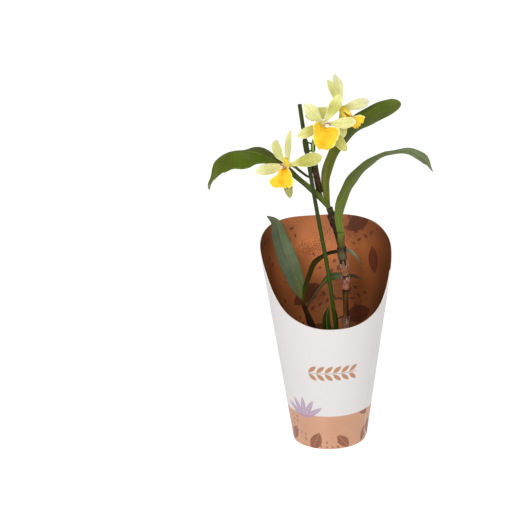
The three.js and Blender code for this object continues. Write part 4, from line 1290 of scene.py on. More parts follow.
def build_stems() -> None:
    """Build the stick, the canes and the flower stem."""
    build_parts((
        (Slot.STICK, STICK_STAIN, "stake", Stem(
            "plant_stick", STICK_LINE, (STICK_RADIUS, STICK_RADIUS),
            {0: "#2a300a", 0.2: "#36480e", 0.35: "#34480e", 0.55: "#2c3a0e", 0.8: "#323e12",
             1: "#3a4418"}, ribs=9, rib_depth=0.06, wander=0.03, loops=90)),
        (Slot.GREEN_CANE, CANE_SKIN, "front_cane", Stem(
            "ribbed_front_cane", FRONT_CANE_LINE, (3.4, 2.9, 3.0, 2.7, 2.9, 3.2, 3.6, 4.2, 4.3),
            {0: "#6a4a34", 0.3: "#7a5840", 0.33: "#6a4224", 0.42: "#623c1a", 0.5: "#5a3e16",
             0.54: "#2c1a0c", 0.6: "#6a4026", 0.67: "#3c2210", 0.76: "#3a2a14", 0.88: "#443c14",
             0.93: "#545016", 1: "#5f6e22"}, joints=(0.1, 0.315, 0.54, 0.65, 0.785, 0.9), seed=4)),
        (Slot.BROWN_CANE, CANE_SKIN, "back_cane", Stem(
            "ribbed_back_cane", BACK_CANE_LINE, (3.6, 3.3, 3.3, 3.4, 3.6, 3.8, 4.0),
            {0: "#3a281a", 0.3: "#402c1c", 0.55: "#302014", 0.8: "#2c1c10", 0.9: "#20140c",
             1: "#3c3818"}, joints=(0.12, 0.3, 0.5, 0.68, 0.83, 0.96), seed=6)),
        (Slot.BROWN_CANE, CANE_SKIN, "left_cane", Stem(
            "swollen_left_cane", LEFT_CANE_LINE, (4.6, 5.2, 4.6, 3.0, 2.6),
            {0: "#332418", 0.4: "#2a1a0e", 0.7: "#2c160a", 0.88: "#3a1e0e", 1: "#504818"},
            joints=(0.2, 0.5, 0.76), ribs=9, rib_depth=0.28, loops=90, seed=9)),
        (Slot.STALK, STALK_SKIN, "flower_stem", Stem(
            "flower_stem_green", FLOWER_STEM_LINE, (STEM_RADIUS,) * 3,
            {0: "#46541c", 0.5: "#58702a", 0.72: "#8cae4e", 1: "#86964a"},
            joints=(0.55,), ring=0.15, ribs=6, rib_depth=0.05, sides=24, wander=0.03, seed=2)),
    ))


def build_sheaths() -> None:
    """Build the sheaths round the canes and the flower stem."""
    dry, dark = (Slot.DRY_SHEATH, SHEATH_PAPER), (Slot.DARK_SHEATH, SHEATH_PAPER)
    build_parts((
        (*dry, "front_cane_sheath_1", Sheath(
            "grey_green_sheath", FRONT_CANE_LINE, 229.5, 244, 4.8, 0.9,
            "#4a4630 #544e38 #484026 #342a18 #241a10", torn=0.8, flare=0.1)),
        (*dry, "front_cane_sheath_2", Sheath(
            "loose_papery_sheath", FRONT_CANE_LINE, 209, 228.5, 4.4, 0.7,
            "#8a5a40 #7a4e34 #94664c #80583c #c0a088", torn=5, flare=0.9, crinkle=0.3, seed=5)),
        (*dry, "front_cane_sheath_3", Sheath(
            "pinkish_papery_sheath", FRONT_CANE_LINE, 191, 207.5, 3.9, 0.7,
            "#945c48 #a06e5a #905a46 #845040 #c8a898", torn=3, flare=0.7, crinkle=0.2, seed=7)),
        (*dry, "front_cane_sheath_4", Sheath(
            "lowest_papery_sheath", FRONT_CANE_LINE, 124, 155.5, 4.0, 0.7,
            "#6a4838 #80584a #946c5c #8a6050 #b09484", torn=4, flare=0.5, crinkle=0.25, seed=8)),
        (*dark, "back_cane_sheath", Sheath(
            "black_papery_sheath", BACK_CANE_LINE, 266, 283, 4.7, 0.7,
            "#2a1c14 #20140e #1c120e #382a22 #5a4a3c", torn=4, flare=0.6, crinkle=0.2, seed=11)),
        (*dark, "flower_sheath", Sheath(
            "brown_flower_sheath", FLOWER_STEM_LINE, 310, 347.5, 3.2, 0.8,
            "#2a1e00 #201600 #382808 #281c00 #4a3a1c #281e04", torn=5, crinkle=0.25, seed=12)),
    ))


def build_rhizome() -> None:
    """Build the creeping stem with a few roots that go down into the bark."""
    z, r = RHIZOME_HEIGHT, RHIZOME_RADIUS
    stem = Stem("creeping_stem", ((-20, 6, z), (-13, 5.5, z), (2, 8, z + 0.2), (14, 4, z), (22, 1, z),
                                  (25, 9, z), (23, 18, z)),
                (r * 0.8, r, r * 0.85, r, r * 0.85, r, r * 0.8),
                {0: "#5a4a2c", 0.5: "#6a5a34", 1: "#57452a"}, ring=0.35, wander=0.12, seed=13,
                joints=(0.08, 0.2, 0.32, 0.45, 0.58, 0.7, 0.82, 0.93))
    shape = stem.shape()
    roots = (((-16, 4, z), (-20, -2, z - 1), (-24, -9, z - 3), (-27, -17, z - 8)),
             ((4, 6, z), (4, 0, z + 0.5), (1, -9, z - 1.5), (-2, -16, z - 7)),
             ((20, 0, z), (27, -6, z), (32, -13, z - 2), (35, -20, z - 8)),
             ((24, 14, z), (31, 19, z), (36, 26, z - 3), (38, 32, z - 8)))
    for seed, line in enumerate(roots, start=20):
        root = Stem("root", line, (1.6, 1.8, 1.7, 1.5), {0: "#8f8a70", 0.6: "#b9b49c", 1: "#a39c80"},
                    wander=0.1, seed=seed, loops=40, sides=16)
        shape = shape.joined(root.shape())
    settle(shape.make(stem.name), Slot.RHIZOME, (ROOT_SKIN,), "rhizome")


# ---- leaves ----


@dataclass
class Blade:
    """Leaf, petal or scale: a spine with half widths, rolls and folds eased along it.

    Attributes:
        spine: points of its middle from the foot to the tip.
        widths: half widths.
        rolls: rolls about the spine in degrees.
        folds: folds of its two halves in degrees.
        right: colours of the upper side on the half where v is above 0; on leaves they hold painted light
            and shade of the fold as well as the leaf's own colour.
        left: colours of the upper side on the other half, the same way.
        under: colours of the underside.
        rib_colour: colour of the midrib.
        margin: colour of the very edge.
        face: where its upper side looks at roll 0.
        thickness: thickness beside the midrib.
        groove: depth of the midrib's groove on the upper side.
        keel: how far the midrib stands out below.
        rib: half width of both.
        wave: how far the edges swing up and down.
        wave_length: distance between two swings.
        wave_turn: where the swings start.
        blunt: share of the length over which the tip rounds off.
        drift: how far its margins run ahead of the midrib.
        rows: rows of the mesh.
        columns: columns of the mesh.
    """

    spine: Sequence[Point]
    widths: Row
    rolls: Row
    folds: Row
    right: str
    left: str
    under: str
    rib_colour: str = "#76824a"
    margin: str = "#5c6a2c"
    face: Point = FRONT
    thickness: float = 1.5
    groove: float = 0.4
    keel: float = 0.5
    rib: float = 0.9
    wave: float = 0.5
    wave_length: float = 34.0
    wave_turn: float = 0.0
    blunt: float = 0.0
    drift: Row = (0, 0)
    rows: int = 110
    columns: int = 41

    CROWD = 0.8  # draws the mesh's rows together towards the tip
    TIP_LOSS = 0.997  # share of its squared width that a blunt tip has lost at its end
    THICKEST = 0.45  # most of its half width that half the thickness may take
    FOLD_POWER, WAVE_POWER, EDGE_POWER = 1.4, 2.5, 6  # how late across the half each one sets in
    WAVE_LAG = 2.1  # radians by which the right margin's wave lags behind the left one's
    SLOW_WAVE, SLOW_BEAT, SLOW_LAG = 0.35, 0.63, 1.7  # a second wave that takes the whole width

    def shape(self) -> Shape:
        """The blade's shape with its colours."""
        line = Line(self.spine)
        t = np.sin(np.linspace(0, math.pi / 2, self.rows)) ** self.CROWD
        v = np.linspace(-1, 1, self.columns)[None]
        tangent = line.tangent(t)
        side = unit(np.cross(tangent, self.face))
        upper = np.cross(side, tangent)
        roll = np.radians(along(self.rolls, t))[:, None]
        fold = np.radians(along(self.folds, t))[:, None]
        width = along(self.widths, t)[:, None]
        if self.blunt:
            tip = np.clip((t[:, None] - 1 + self.blunt) / self.blunt, 0, 1)
            width = width * np.sqrt(1 - tip**2 * self.TIP_LOSS)
        out = np.cos(roll) * side + np.sin(roll) * upper
        up = np.cos(roll) * upper - np.sin(roll) * side
        s = (t * line.length)[:, None]
        across, off = width * v, np.abs(v)
        swing = TURN * s / self.wave_length + self.wave_turn
        slow = np.sin(swing * self.SLOW_BEAT + self.SLOW_LAG * v)
        swing = np.sin(swing + self.WAVE_LAG * (v > 0)) * ease(t * 5)[:, None] * off**self.WAVE_POWER
        rise = width * off**self.FOLD_POWER * np.sin(fold) + self.wave * (swing + self.SLOW_WAVE * slow)
        half = np.minimum(self.thickness / 2, width * self.THICKEST) * np.sqrt(1 - off**self.EDGE_POWER)
        rib = bell(across, self.rib) * np.minimum(1, width / (3 * self.rib))
        ahead = along(self.drift, t)[:, None] * v * v

        def points(height: np.ndarray) -> np.ndarray:
            """Points of a side at a height above the middle sheet."""
            flat = line.at(t)[:, None] + (across * np.cos(fold))[..., None] * out[:, None]
            return flat + ahead[..., None] * tangent[:, None] + height[..., None] * up[:, None]

        share = t[:, None] + 0 * v
        grow = np.stack([s + 0 * v, across, v + 0 * s], -1)
        return sheet(points(rise + half - self.groove * rib), points(rise - half - self.keel * rib),
                     {"skin": self.colour(share, v + 0 * s, across), "grow": grow},
                     {"skin": shade(self.under, share), "grow": grow})

    def colour(self, t: np.ndarray, v: np.ndarray, across: np.ndarray) -> np.ndarray:
        """Colours of the upper side at places along, across and in millimetres off the midrib."""
        rib_strength, rib_width, edge_strength, edge_start = 0.8, 0.45 * self.rib, 0.7, 0.93
        part = ease(0.5 + v * 12)[..., None]
        blade = shade(self.left, t) * (1 - part) + shade(self.right, t) * part
        line = (rib_strength * bell(across, rib_width))[..., None]
        edge = (edge_strength * ease((np.abs(v) - edge_start) / (1 - edge_start)))[..., None]
        blade = blade * (1 - line) + tones(self.rib_colour)[0] * line
        return blade * (1 - edge) + tones(self.margin)[0] * edge


# The leaves by their CAD node's name. Their colours, half by half, hold painted light and shade of each
# fold as well as the leaf's own colour.
LEAVES = {
    "leaf_upper_left": Blade(
        ((3.5, 5, 289.5), (-11.4, -1, 307.5), (-18.6, -1, 314.5), (-35, 2, 329.4), (-48.4, 5, 341.7),
         (-76.2, 9, 356), (-90, 10.5, 358.6), (-98.8, 11, 359.6), (-108.3, 11, 359.2),
         (-116.6, 11, 356.8), (-123.8, 10.5, 352.6), (-130, 10, 346.8), (-132.7, 9, 340.5),
         (-134, 8, 334.6), (-135.6, 7.5, 329), (-138, 7, 322), (-137.9, 7, 314.8)),
        (3.4, 3.9, 4.5, 4.7, 4.7, 4.4, 4.2, 4.2, 5, 7.5, 11, 15.5, 19.5, 21.5, 21.4, 20.2, 17.4, 12.8,
         7.2, 3.4, 0.9), (-35, -45, -52, -56, -56, -55, -55, -57, -57, -72, -170),
        (35, 34, 32, 29, 26, 21, 16, 13, 10, 3, -6, -17, -31, -52, -56, -56, -54, -52, -46, -28, -5),
        right="#535f20 #58682a #525624 #566222 #5c6a22 #5a6628",
        left="#535f20 #54642a #566a20 #4c5e10 #4a560c #5c6426",
        # the pale margin is partly the leaf's edge, partly a painted sheen
        under="#5c6c30 #5c6c30 #62703a #767e5c", margin="#6c7c42", rows=200,
        drift=(0, 0, 0, 0, 0, 0, 0, 1, 4.2, 4.6, 0)),
    "leaf_upper_right": Blade(
        ((3.1, 10.1, 290), (1.3, 9, 308.8), (1.3, 10, 323.4), (4.1, 12, 335.5), (9.1, 15, 347.6),
         (21.1, 21, 366.5), (39.8, 30, 383.8), (67.4, 37, 397.2), (90.4, 42, 407.6)),
        (3.4, 5.1, 7.2, 9.4, 11.6, 15.2, 17.6, 16.4, 10.8), (15, 20, 35, 52, 62, 65, 65, 65, 62),
        (30, 25, 20, 15, 12, 10, 10),
        right="#6a7026 #70742c #727834 #6e7a3c #5c6828 #66742c",
        left="#6a7026 #727430 #72782c #6a7826 #546420 #66762e",
        under="#5e6830 #606c34 #66743c", rib_colour="#5a6622", groove=0.12, wave=0.6, blunt=0.05,
        rows=130),
    "leaf_arching": Blade(
        ((16.8, -4, 262.6), (15.7, -4, 283.2), (22, -3, 306.7), (34.4, 2, 328.1), (54.4, 9, 344.7),
         (68.7, 13, 351.4), (79.7, 17, 352.9), (91.1, 20.5, 353.3), (100.6, 23, 352.0),
         (109.6, 25.5, 347.5), (116.9, 27.5, 342.2), (122.1, 29, 336.3), (124.7, 29.5, 331.4),
         (128.3, 30, 325.3)),
        (4.4, 4.7, 5.6, 6.8, 8, 8.9, 9.2, 9.7, 9.2, 8.2, 7.5, 6.2, 4.8, 3.9, 4.2, 5.1, 5.8, 6.9, 6.6,
         2.6, 0.5), (15, 30, 52, 62, 66, 72, 60, 48, 46), (20, 15, 8, 6, 5, 4, 4, 4),
        right="#5e7022 #646f30 #6a7444 #707a54 #727c58 #646e4a",
        left="#5a6c1e #5e6a2c #5c6632 #667248 #727e58 #646e48",
        under="#76805c #7e8868 #747e60", wave=0.4, wave_length=28, rows=160),
    "leaf_broad": Blade(
        ((-30.9, 3, 177.6), (-37.8, 9, 200), (-47.6, 13, 226), (-54.4, 17, 246), (-61.4, 20, 269),
         (-70.6, 22, 276.2)),
        (2.4, 9.6, 11.7, 11.8, 10.1, 7.4, 0.8), (10, 0, -8, -10, -15), (22, 10, 5, 3, 0),
        right="#6c7030 #58623e #606a4c #586244 #565a42",
        left="#545f2c #505a40 #535c43 #49523a #4a5038",
        under="#66744a #626e4a", rib_colour="#5c6648", margin="#3c4a26", wave=0.4, groove=0.15,
        rib=0.7, rows=90),
    "leaf_narrow": Blade(
        ((-28, -1.5, 177.6), (-25.4, -2, 193), (-20.1, 2, 206.4), (-14.4, 5, 220.1), (-8.3, 8, 225.5),
         (0, 12, 229.6), (11, 20.5, 230), (25.2, 25, 230.1), (32.3, 26, 225.5), (41.8, 28, 211.8)),
        (2.1, 4, 4.8, 5.3, 4.9, 3.4, 3.2, 3.7, 2, 0.5), (50, 55, 58, 62, 66, 74, 74, 50, 45),
        (25, 20, 15, 10, 5),
        right="#4c5414 #36380a #342e06 #342c06 #383408 #8f9474 #62603c",
        left="#4c5414 #2e3006 #2e2804 #2e2604 #322e06 #949a7c #54502e",
        under="#3a4a16 #40501c #828e6a", rib_colour="#484c16", margin="#4a4c18", wave=0.25,
        rows=120, columns=25, groove=0.25, rib=0.7),
    "leaf_thin": Blade(
        ((-25.4, 7.2, 162.6), (-21, 8, 171), (-13.6, 10, 181.3), (-6.2, 13, 191.4), (1.9, 17, 198.6),
         (11, 22, 199), (22, 25, 199), (32.9, 26, 197.3), (43.6, 27, 192.2)),
        (1.6, 1.3, 1.3, 1.7, 4.0, 4.6, 2.4, 1.7, 0.5), (50, 50, 30, 20, 20, 45, 62), (20, 15, 10, 5, 5),
        right="#3c3414 #362a0e #3a3410 #4c5420 #6c7454 #4c3a26 #2c140a",
        left="#3c3414 #302408 #342e0c #444e1a #626c4a #40301e #28120a",
        under="#54502c #5a6a3a #6f7f66 #3f2a1c", rib_colour="#7f8a6a", margin="#4a5a38",
        wave=0.2, columns=25, groove=0.2, rib=0.6, keel=0.3),
    "shoot_leaf_left": Blade(
        ((1.5, 6.5, CANE_FOOT), (1.2, 4, 129), (-1, 3, 142), (-1, 4, 154), (2, 6, 167)),
        (3, 4.6, 5.6, 4.6, 0.5), (10, 10, 10), (20, 15, 10),
        right="#4e5c1c #36480e #303e0c #364610", left="#4e5c1c #304008 #2a3608 #304008",
        under="#46561c #445220", wave=0.3, rows=60, columns=25, groove=0.3, rib=0.7),
    "shoot_leaf_right": Blade(
        ((9.5, 5.5, CANE_FOOT), (10.5, -2, 131), (10.2, -4, 146), (9.4, -4, 160), (7, -3, 172)),
        (2.4, 3, 3.4, 2.8, 0.5), (20, 20, 20), (20, 15, 10),
        right="#4e5c1c #364810 #32420e #364610", left="#4e5c1c #34460e #303e0c #34440e",
        under="#46561c #445220", wave=0.25, rows=60, columns=25, groove=0.3, rib=0.6),
}


def build_leaves() -> None:
    """Build the leaves and the two small dry bracts."""
    for node, blade in LEAVES.items():
        slot, skin = (Slot.BLUE_LEAF, BLOOMED_LEAF) if node == "leaf_broad" else (Slot.LEAF, LEAF_SKIN)
        settle(blade.shape().make(f"{node}_blade"), slot, (skin,), node)
    bracts = {"bract_upper": ((18.6, -4.4, 178.5), (14, -6, 180.5), (9.2, -7, 178.5)),
              "bract_lower": ((18.9, -4.7, 156.8), (15.2, -7, 156.2), (12, -7.4, 153.6))}
    for node, spine in bracts.items():
        scale = Blade(spine, (1.4, 1.3, 0.4), (0, 0), (20, 10), right="#5a4030 #4a3024 #2f1e16",
                      left="#5f4433 #4f3426 #2f1e16", under="#4a3024 #3a241a", rib_colour="#6a4a38",
                      margin="#3a241a", thickness=0.8, groove=0.1, keel=0.15, rib=0.4, wave=0.15,
                      wave_length=6, rows=30, columns=15)
        settle(scale.shape().make(f"{node}_scale"), Slot.DARK_SHEATH, (SHEATH_PAPER,), node)


# ---- flowers ----


class TepalKind(Enum):
    """Outlines of the flower's outer parts: half widths from the root to the tip."""

    SEPAL = (1.5, 2.8, 4.4, 5.7, 6.5, 6.7, 6.1, 4.9, 3.2)
    PETAL = (1.3, 2.2, 3.7, 5.5, 7.0, 7.8, 7.6, 6.6, 5.0)


@dataclass
class Tepal:
    """Petal or sepal of a bloom.

    Attributes:
        turn: degrees from the top of the bloom to its right.
        lift: degrees out of the bloom's plane.
        length: its reach from the middle.
        roll: rolls about its own line in degrees.
        heart: colour of its middle.
        tip: colour of its tip.
        late: colour between the two.
        breadth: its width over its kind's.
    """

    turn: float
    lift: float
    length: float
    roll: Row = (0, 0)
    heart: str = "#d1d07c"
    tip: str = "#e6e4b0"
    late: str = "#dad98c"
    breadth: float = 1.0


@dataclass
class Bloom:
    """One flower. Its frame has its own right, its top and the way it looks as axes.

    Attributes:
        name: first part of its nodes' names.
        centre: the middle of the bloom.
        facing: the way it looks.
        top: the way its top points.
        tepals: its petals and sepals by their CAD name.
        lip_widths: half widths of the lip's left and right half: root, side lobe, shoulder, waist,
            middle lobe twice, tip.
        lip_bends: degrees by which the two halves curl up at the same places.
        lip_yaw: degrees the lip is turned sideways.
        lip_roll: degrees the lip is rolled.
        lip_scale: size of the lip.
        pedicel: points of its stalk after the ovary.
        lip_reach: how far the lip's margins reach back towards the root.
        column_reach: length of the column over the plain one.
        column_girth: thickness of the column over the plain one.
        cap: colour of the column's cap.
        blush: strength of the orange patch on the lip.
        seed: picks its ruffles.
    """

    name: str
    centre: Point
    facing: Point
    top: Point
    tepals: dict[str, Tepal]
    lip_widths: tuple[Row, Row]
    lip_bends: tuple[Row, Row]
    lip_yaw: float
    lip_roll: float
    lip_scale: float
    pedicel: Sequence[Point]
    lip_reach: Row = (0, 2, 5, 2, -1, -2.5, -2.5)
    column_reach: float = 1.0
    column_girth: float = 1.0
    cap: str = "#f4e6cc"
    blush: float = 0.85
    seed: int = 1

    ROOT_RING = 4.2  # radius of the ring at which the tepals' widths begin
    SPINE = (-0.075, 0, 0.33, 0.67, 1)  # shares of a tepal's reach at which its spine has points
    BOW, WAVE = (2.0, 0.8), (0.6, 0.3)  # how far petals and sepals arch and how far they wave
    LIP_LINE = ((0, -3.7, 1.4), (0, -5, 6), (0, -8.4, 10), (0, -13.5, 12), (0, -20, 12), (0, -25.5, 9))
    LIP_ROWS, LIP_COLUMNS, LIP_THICKNESS = 84, 77, 0.8
    KEELS, KEEL_WIDTH, KEEL_HEIGHT = (-1.7, 0, 1.7), 0.42, 0.7  # three raised lines down the lip
    LOBE_MIDDLE, LOBE_WIDTH, LOBE_LENGTH = 0.6, 13, 26  # the middle lobe, round which folds run
    FOLD, CREASE, FRINGE, TOOTH = 0.7, 0.55, 0.055, 0.012  # wide and narrow folds and notches
    THROAT, THROAT_WIDTH = 0.12, 2.4  # strength and width of the orange line down the lip
    PATCH, PATCH_SPAN = (-1.5, 0.74), (4.4, 0.13)  # the orange patch across and along the lip
    COLUMN_LINE = ((0, -0.5), (0.5, 3), (0.1, 6), (-1.9, 9))
    COLUMN_RADII = (2.1, 1.9, 2.0, 2.3, 2.8, 3.2, 3.4, 2.3, 2.1)
    COLUMN_LOOPS, COLUMN_SIDES = 64, 44
    HOOD, CHEEKS = (0.80, 0.045), (0.88, 0.05)  # where the dark lines lie along it, and their width

    def basis(self) -> np.ndarray:
        """Right, top and facing directions as columns."""
        facing = unit(np.array(self.facing))
        top = unit(np.array(self.top) - facing * (np.array(self.top) @ facing))
        return np.stack([np.cross(top, facing), top, facing], -1)

    def place(self, shape: Shape, part: str, form: str, slot: Slot, skin: Tissue) -> None:
        """Make a part from its shape in the bloom's frame."""
        shape.points = np.asarray(shape.points) @ self.basis().T + np.array(self.centre)
        settle(shape.make(f"{self.name}_{part}_{form}"), slot, (skin,), f"{self.name}_{part}")

    def build_tepals(self) -> None:
        """Build the petals and sepals."""
        for i, (part, tepal) in enumerate(self.tepals.items()):
            a, e = math.radians(tepal.turn), math.radians(tepal.lift)
            out = np.array((math.sin(a), math.cos(a), 0))
            tip = out * math.cos(e) * tepal.length + np.array((0, 0, math.sin(e) * tepal.length))
            petal = part.startswith("petal")
            bow, wave = (pair[0 if petal else 1] for pair in (self.BOW, self.WAVE))

            def at(f: float) -> np.ndarray:
                """Point of the spine at a share of the way from the root ring to the tip."""
                flat = out * self.ROOT_RING * (1 - f) + tip * f
                return np.array((flat[0], flat[1], tip[2] * f + bow * math.sin(math.pi * f)))

            greens = f"#dedca0 #dad98e {tepal.heart} {tepal.heart} {tepal.late} {tepal.tip}"
            widths = [tepal.breadth * w for w in (TepalKind.PETAL if petal else TepalKind.SEPAL).value]
            blade = Blade([at(f) for f in self.SPINE], widths, tepal.roll, (12, 4),
                          right=greens, left=greens, under="#a6a848 #b8b85c #c6c676",
                          rib_colour="#c6c66c", margin="#f4f2d2", face=(0, 0, 1), thickness=0.8,
                          groove=0.06, keel=0.2, rib=0.8, blunt=0.2, wave=wave, wave_length=21,
                          wave_turn=self.seed + 1.3 * i, rows=64, columns=29)
            self.place(blade.shape(), part, "blade", Slot.TEPAL, PETAL_SKIN)

    def build_lip(self) -> None:
        """Build the lip: two side lobes beside the column, a waist and a ruffled middle lobe."""
        line = Line(self.LIP_LINE)
        t = np.linspace(0, 1, self.LIP_ROWS)[:, None]
        v = np.linspace(-1, 1, self.LIP_COLUMNS)[None]
        width, bend = (np.where(v < 0, *(along(half, t) for half in halves))
                       for halves in (self.lip_widths, self.lip_bends))
        bend = np.radians(bend)
        across, radius = width * v, width / bend
        # The ruffle and the fringe grow towards the margin and run round it by an angle.
        margin = 1 - (1 - v**4) * (1 - ease((t - 0.78) / 0.22))
        angle = np.arctan2(v * self.LOBE_WIDTH, (t - self.LOBE_MIDDLE) * self.LOBE_LENGTH)
        ruffle = self.FOLD * ripple(angle * 2, self.seed, 3, 8)
        ruffle = ruffle + self.CREASE * np.sin(15 * angle + self.seed)
        ruffle = ruffle * margin**2 * ease((t - 0.05) / 0.4) * (0.6 + 0.9 * ease((t - 0.4) / 0.3))
        fringe = self.FRINGE * ripple(angle * 7, self.seed + 1, 1, 4) + self.TOOTH * np.sin(43 * angle)
        fringe = fringe * margin**5 * ease((t - 0.2) / 0.2)
        keels = sum(bell(across - x, self.KEEL_WIDTH) for x in self.KEELS)
        keels = self.KEEL_HEIGHT * keels * ease(t / 0.12) * (1 - ease((t - 0.5) / 0.2))
        groove = -0.3 * bell(across, 1.6) * ease((t - 0.5) / 0.15)
        half = self.LIP_THICKNESS / 2 * np.sqrt(1 - v**6)
        half = half * np.minimum(1, 0.25 + 6 * (1 - t)) * np.minimum(1, 0.3 + 8 * t)
        ahead = fringe * 14 * ease((t - 0.8) / 0.2) - along(self.lip_reach, t) * v * v
        down = line.tangent(t[:, 0])[:, None]
        normal = unit(np.cross(down, (1.0, 0, 0)))
        turn = Matrix.Rotation(math.radians(self.lip_roll), 3, "Z") @ Matrix.Rotation(
            math.radians(self.lip_yaw), 3, "Y")
        root = np.array(self.LIP_LINE[0])

        def points(lift: np.ndarray) -> np.ndarray:
            """Points of a side at a lift towards the inside of the curl."""
            swung = bend * v * (1 + fringe)
            shift = (down * ahead[..., None]
                     + np.array((1.0, 0, 0)) * ((radius - lift) * np.sin(swung))[..., None]
                     + normal * (radius - (radius - lift) * np.cos(swung))[..., None])
            curled = line.at(t[:, 0])[:, None] + shift
            return (curled - root) @ np.array(turn).T * self.lip_scale + root

        throat = self.THROAT * bell(across, self.THROAT_WIDTH) * ease((t - 0.05) / 0.25)
        (aside, further), (wide, long) = self.PATCH, self.PATCH_SPAN
        patch = self.blush * bell(across - aside, wide) * bell(t - further, long)
        orange = np.clip(throat + patch, 0, 1)[..., None]
        edge = 0.75 * ease((np.abs(v) - 0.82) / 0.17) + 0.5 * ease((t - 0.95) / 0.05) * (1 - v * v)
        edge = edge[..., None]
        # back: the lip's outer side, paler than the inside: partly its own colour, partly painted light on
        # its shaded outside.
        yellow, deep, pale, back = tones("#f5c92c #f2a80e #fbf0a4 #fddb52")
        inside = (yellow * (1 - orange) + deep * orange) * (1 - edge) + pale * edge
        grow = np.stack([t * line.length + 0 * v, across, v + 0 * t], -1)
        shape = sheet(points(ruffle + half + keels + groove), points(ruffle - half + groove),
                      {"skin": inside, "grow": grow}, {"skin": back + 0 * inside, "grow": grow})
        self.place(shape, "lip", "frill", Slot.LIP, LIP_SKIN)

    def build_column(self) -> None:
        """Build the column: a club with a hood, dark lines round the hood and a pale cap."""
        line = Line([(0, y, z * self.column_reach) for y, z in self.COLUMN_LINE])
        t = np.linspace(0, 1, self.COLUMN_LOOPS)
        up = t[:, None]
        angle = np.arange(self.COLUMN_SIDES) * TURN / self.COLUMN_SIDES
        radius = self.column_girth * along(self.COLUMN_RADII, t)[:, None] + 0 * angle
        radius = radius * np.sqrt(1 - 0.97 * ease((up - 0.9) / 0.1) ** 2)
        normal, across = line.crossways(t)
        way = normal[:, None] * np.cos(angle)[:, None] + across[:, None] * np.sin(angle)[:, None]
        above, wing = way[..., 1], np.abs(way[..., 0])
        swell = ease((up - 0.4) / 0.3)
        radius = radius * (1 - 0.2 * ease(0.5 - above) * swell) * (1 + 0.14 * wing**3 * swell)
        cream, green, brown, cap_tone = tones(f"#f0d8b4 #d8d690 #7a4614 {self.cap}")
        hood, cheeks = (bell(up - at, width) for at, width in (self.HOOD, self.CHEEKS))
        hood, cheeks = hood * ease(0.9 + above), cheeks * bell(above + 0.45, 0.3)
        dark = np.clip(hood + cheeks * 0.8, 0, 1)[..., None]
        pale, cap = ease(up / 0.5)[..., None], ease((up - 0.84) / 0.04)[..., None]
        skin = (green * (1 - pale) + cream * pale + 0 * dark) * (1 - cap) + cap_tone * cap
        skin = skin * (1 - dark) + brown * dark
        grow = np.stack([(t * line.length)[:, None] + 0 * radius, radius * angle, 0 * radius], -1)
        self.place(tube(line, t, radius, {"skin": skin, "grow": grow}), "column", "club", Slot.COLUMN,
                   COLUMN_WAX)

    def build_pedicel(self) -> None:
        """Build the stalk: a small cup that carries the bloom, the ribbed ovary and the pedicel."""
        basis, centre = self.basis(), np.array(self.centre)
        head = [tuple(basis @ np.array((0, 0, z)) + centre) for z in (-0.2, -2.4, -9)]
        stalk = Stem(f"{self.name}_ribbed_pedicel", [*head, *self.pedicel],
                     (3.6, 2.5, 2.3, 2.1, 1.8, 1.65, 1.55, 1.5, 1.45, 1.4, 1.4),
                     {0: "#c0c06a", 0.1: "#9aa048", 0.3: "#66702e", 0.5: "#424c1e", 1: "#363c18"},
                     ribs=6, rib_depth=0.3, wander=0.05, seed=self.seed, loops=90, sides=30)
        build_parts([(Slot.STALK, STALK_SKIN, f"{self.name}_pedicel", stalk)])

    def build(self) -> None:
        """Build the whole bloom."""
        self.build_tepals()
        self.build_lip()
        self.build_column()
        self.build_pedicel()


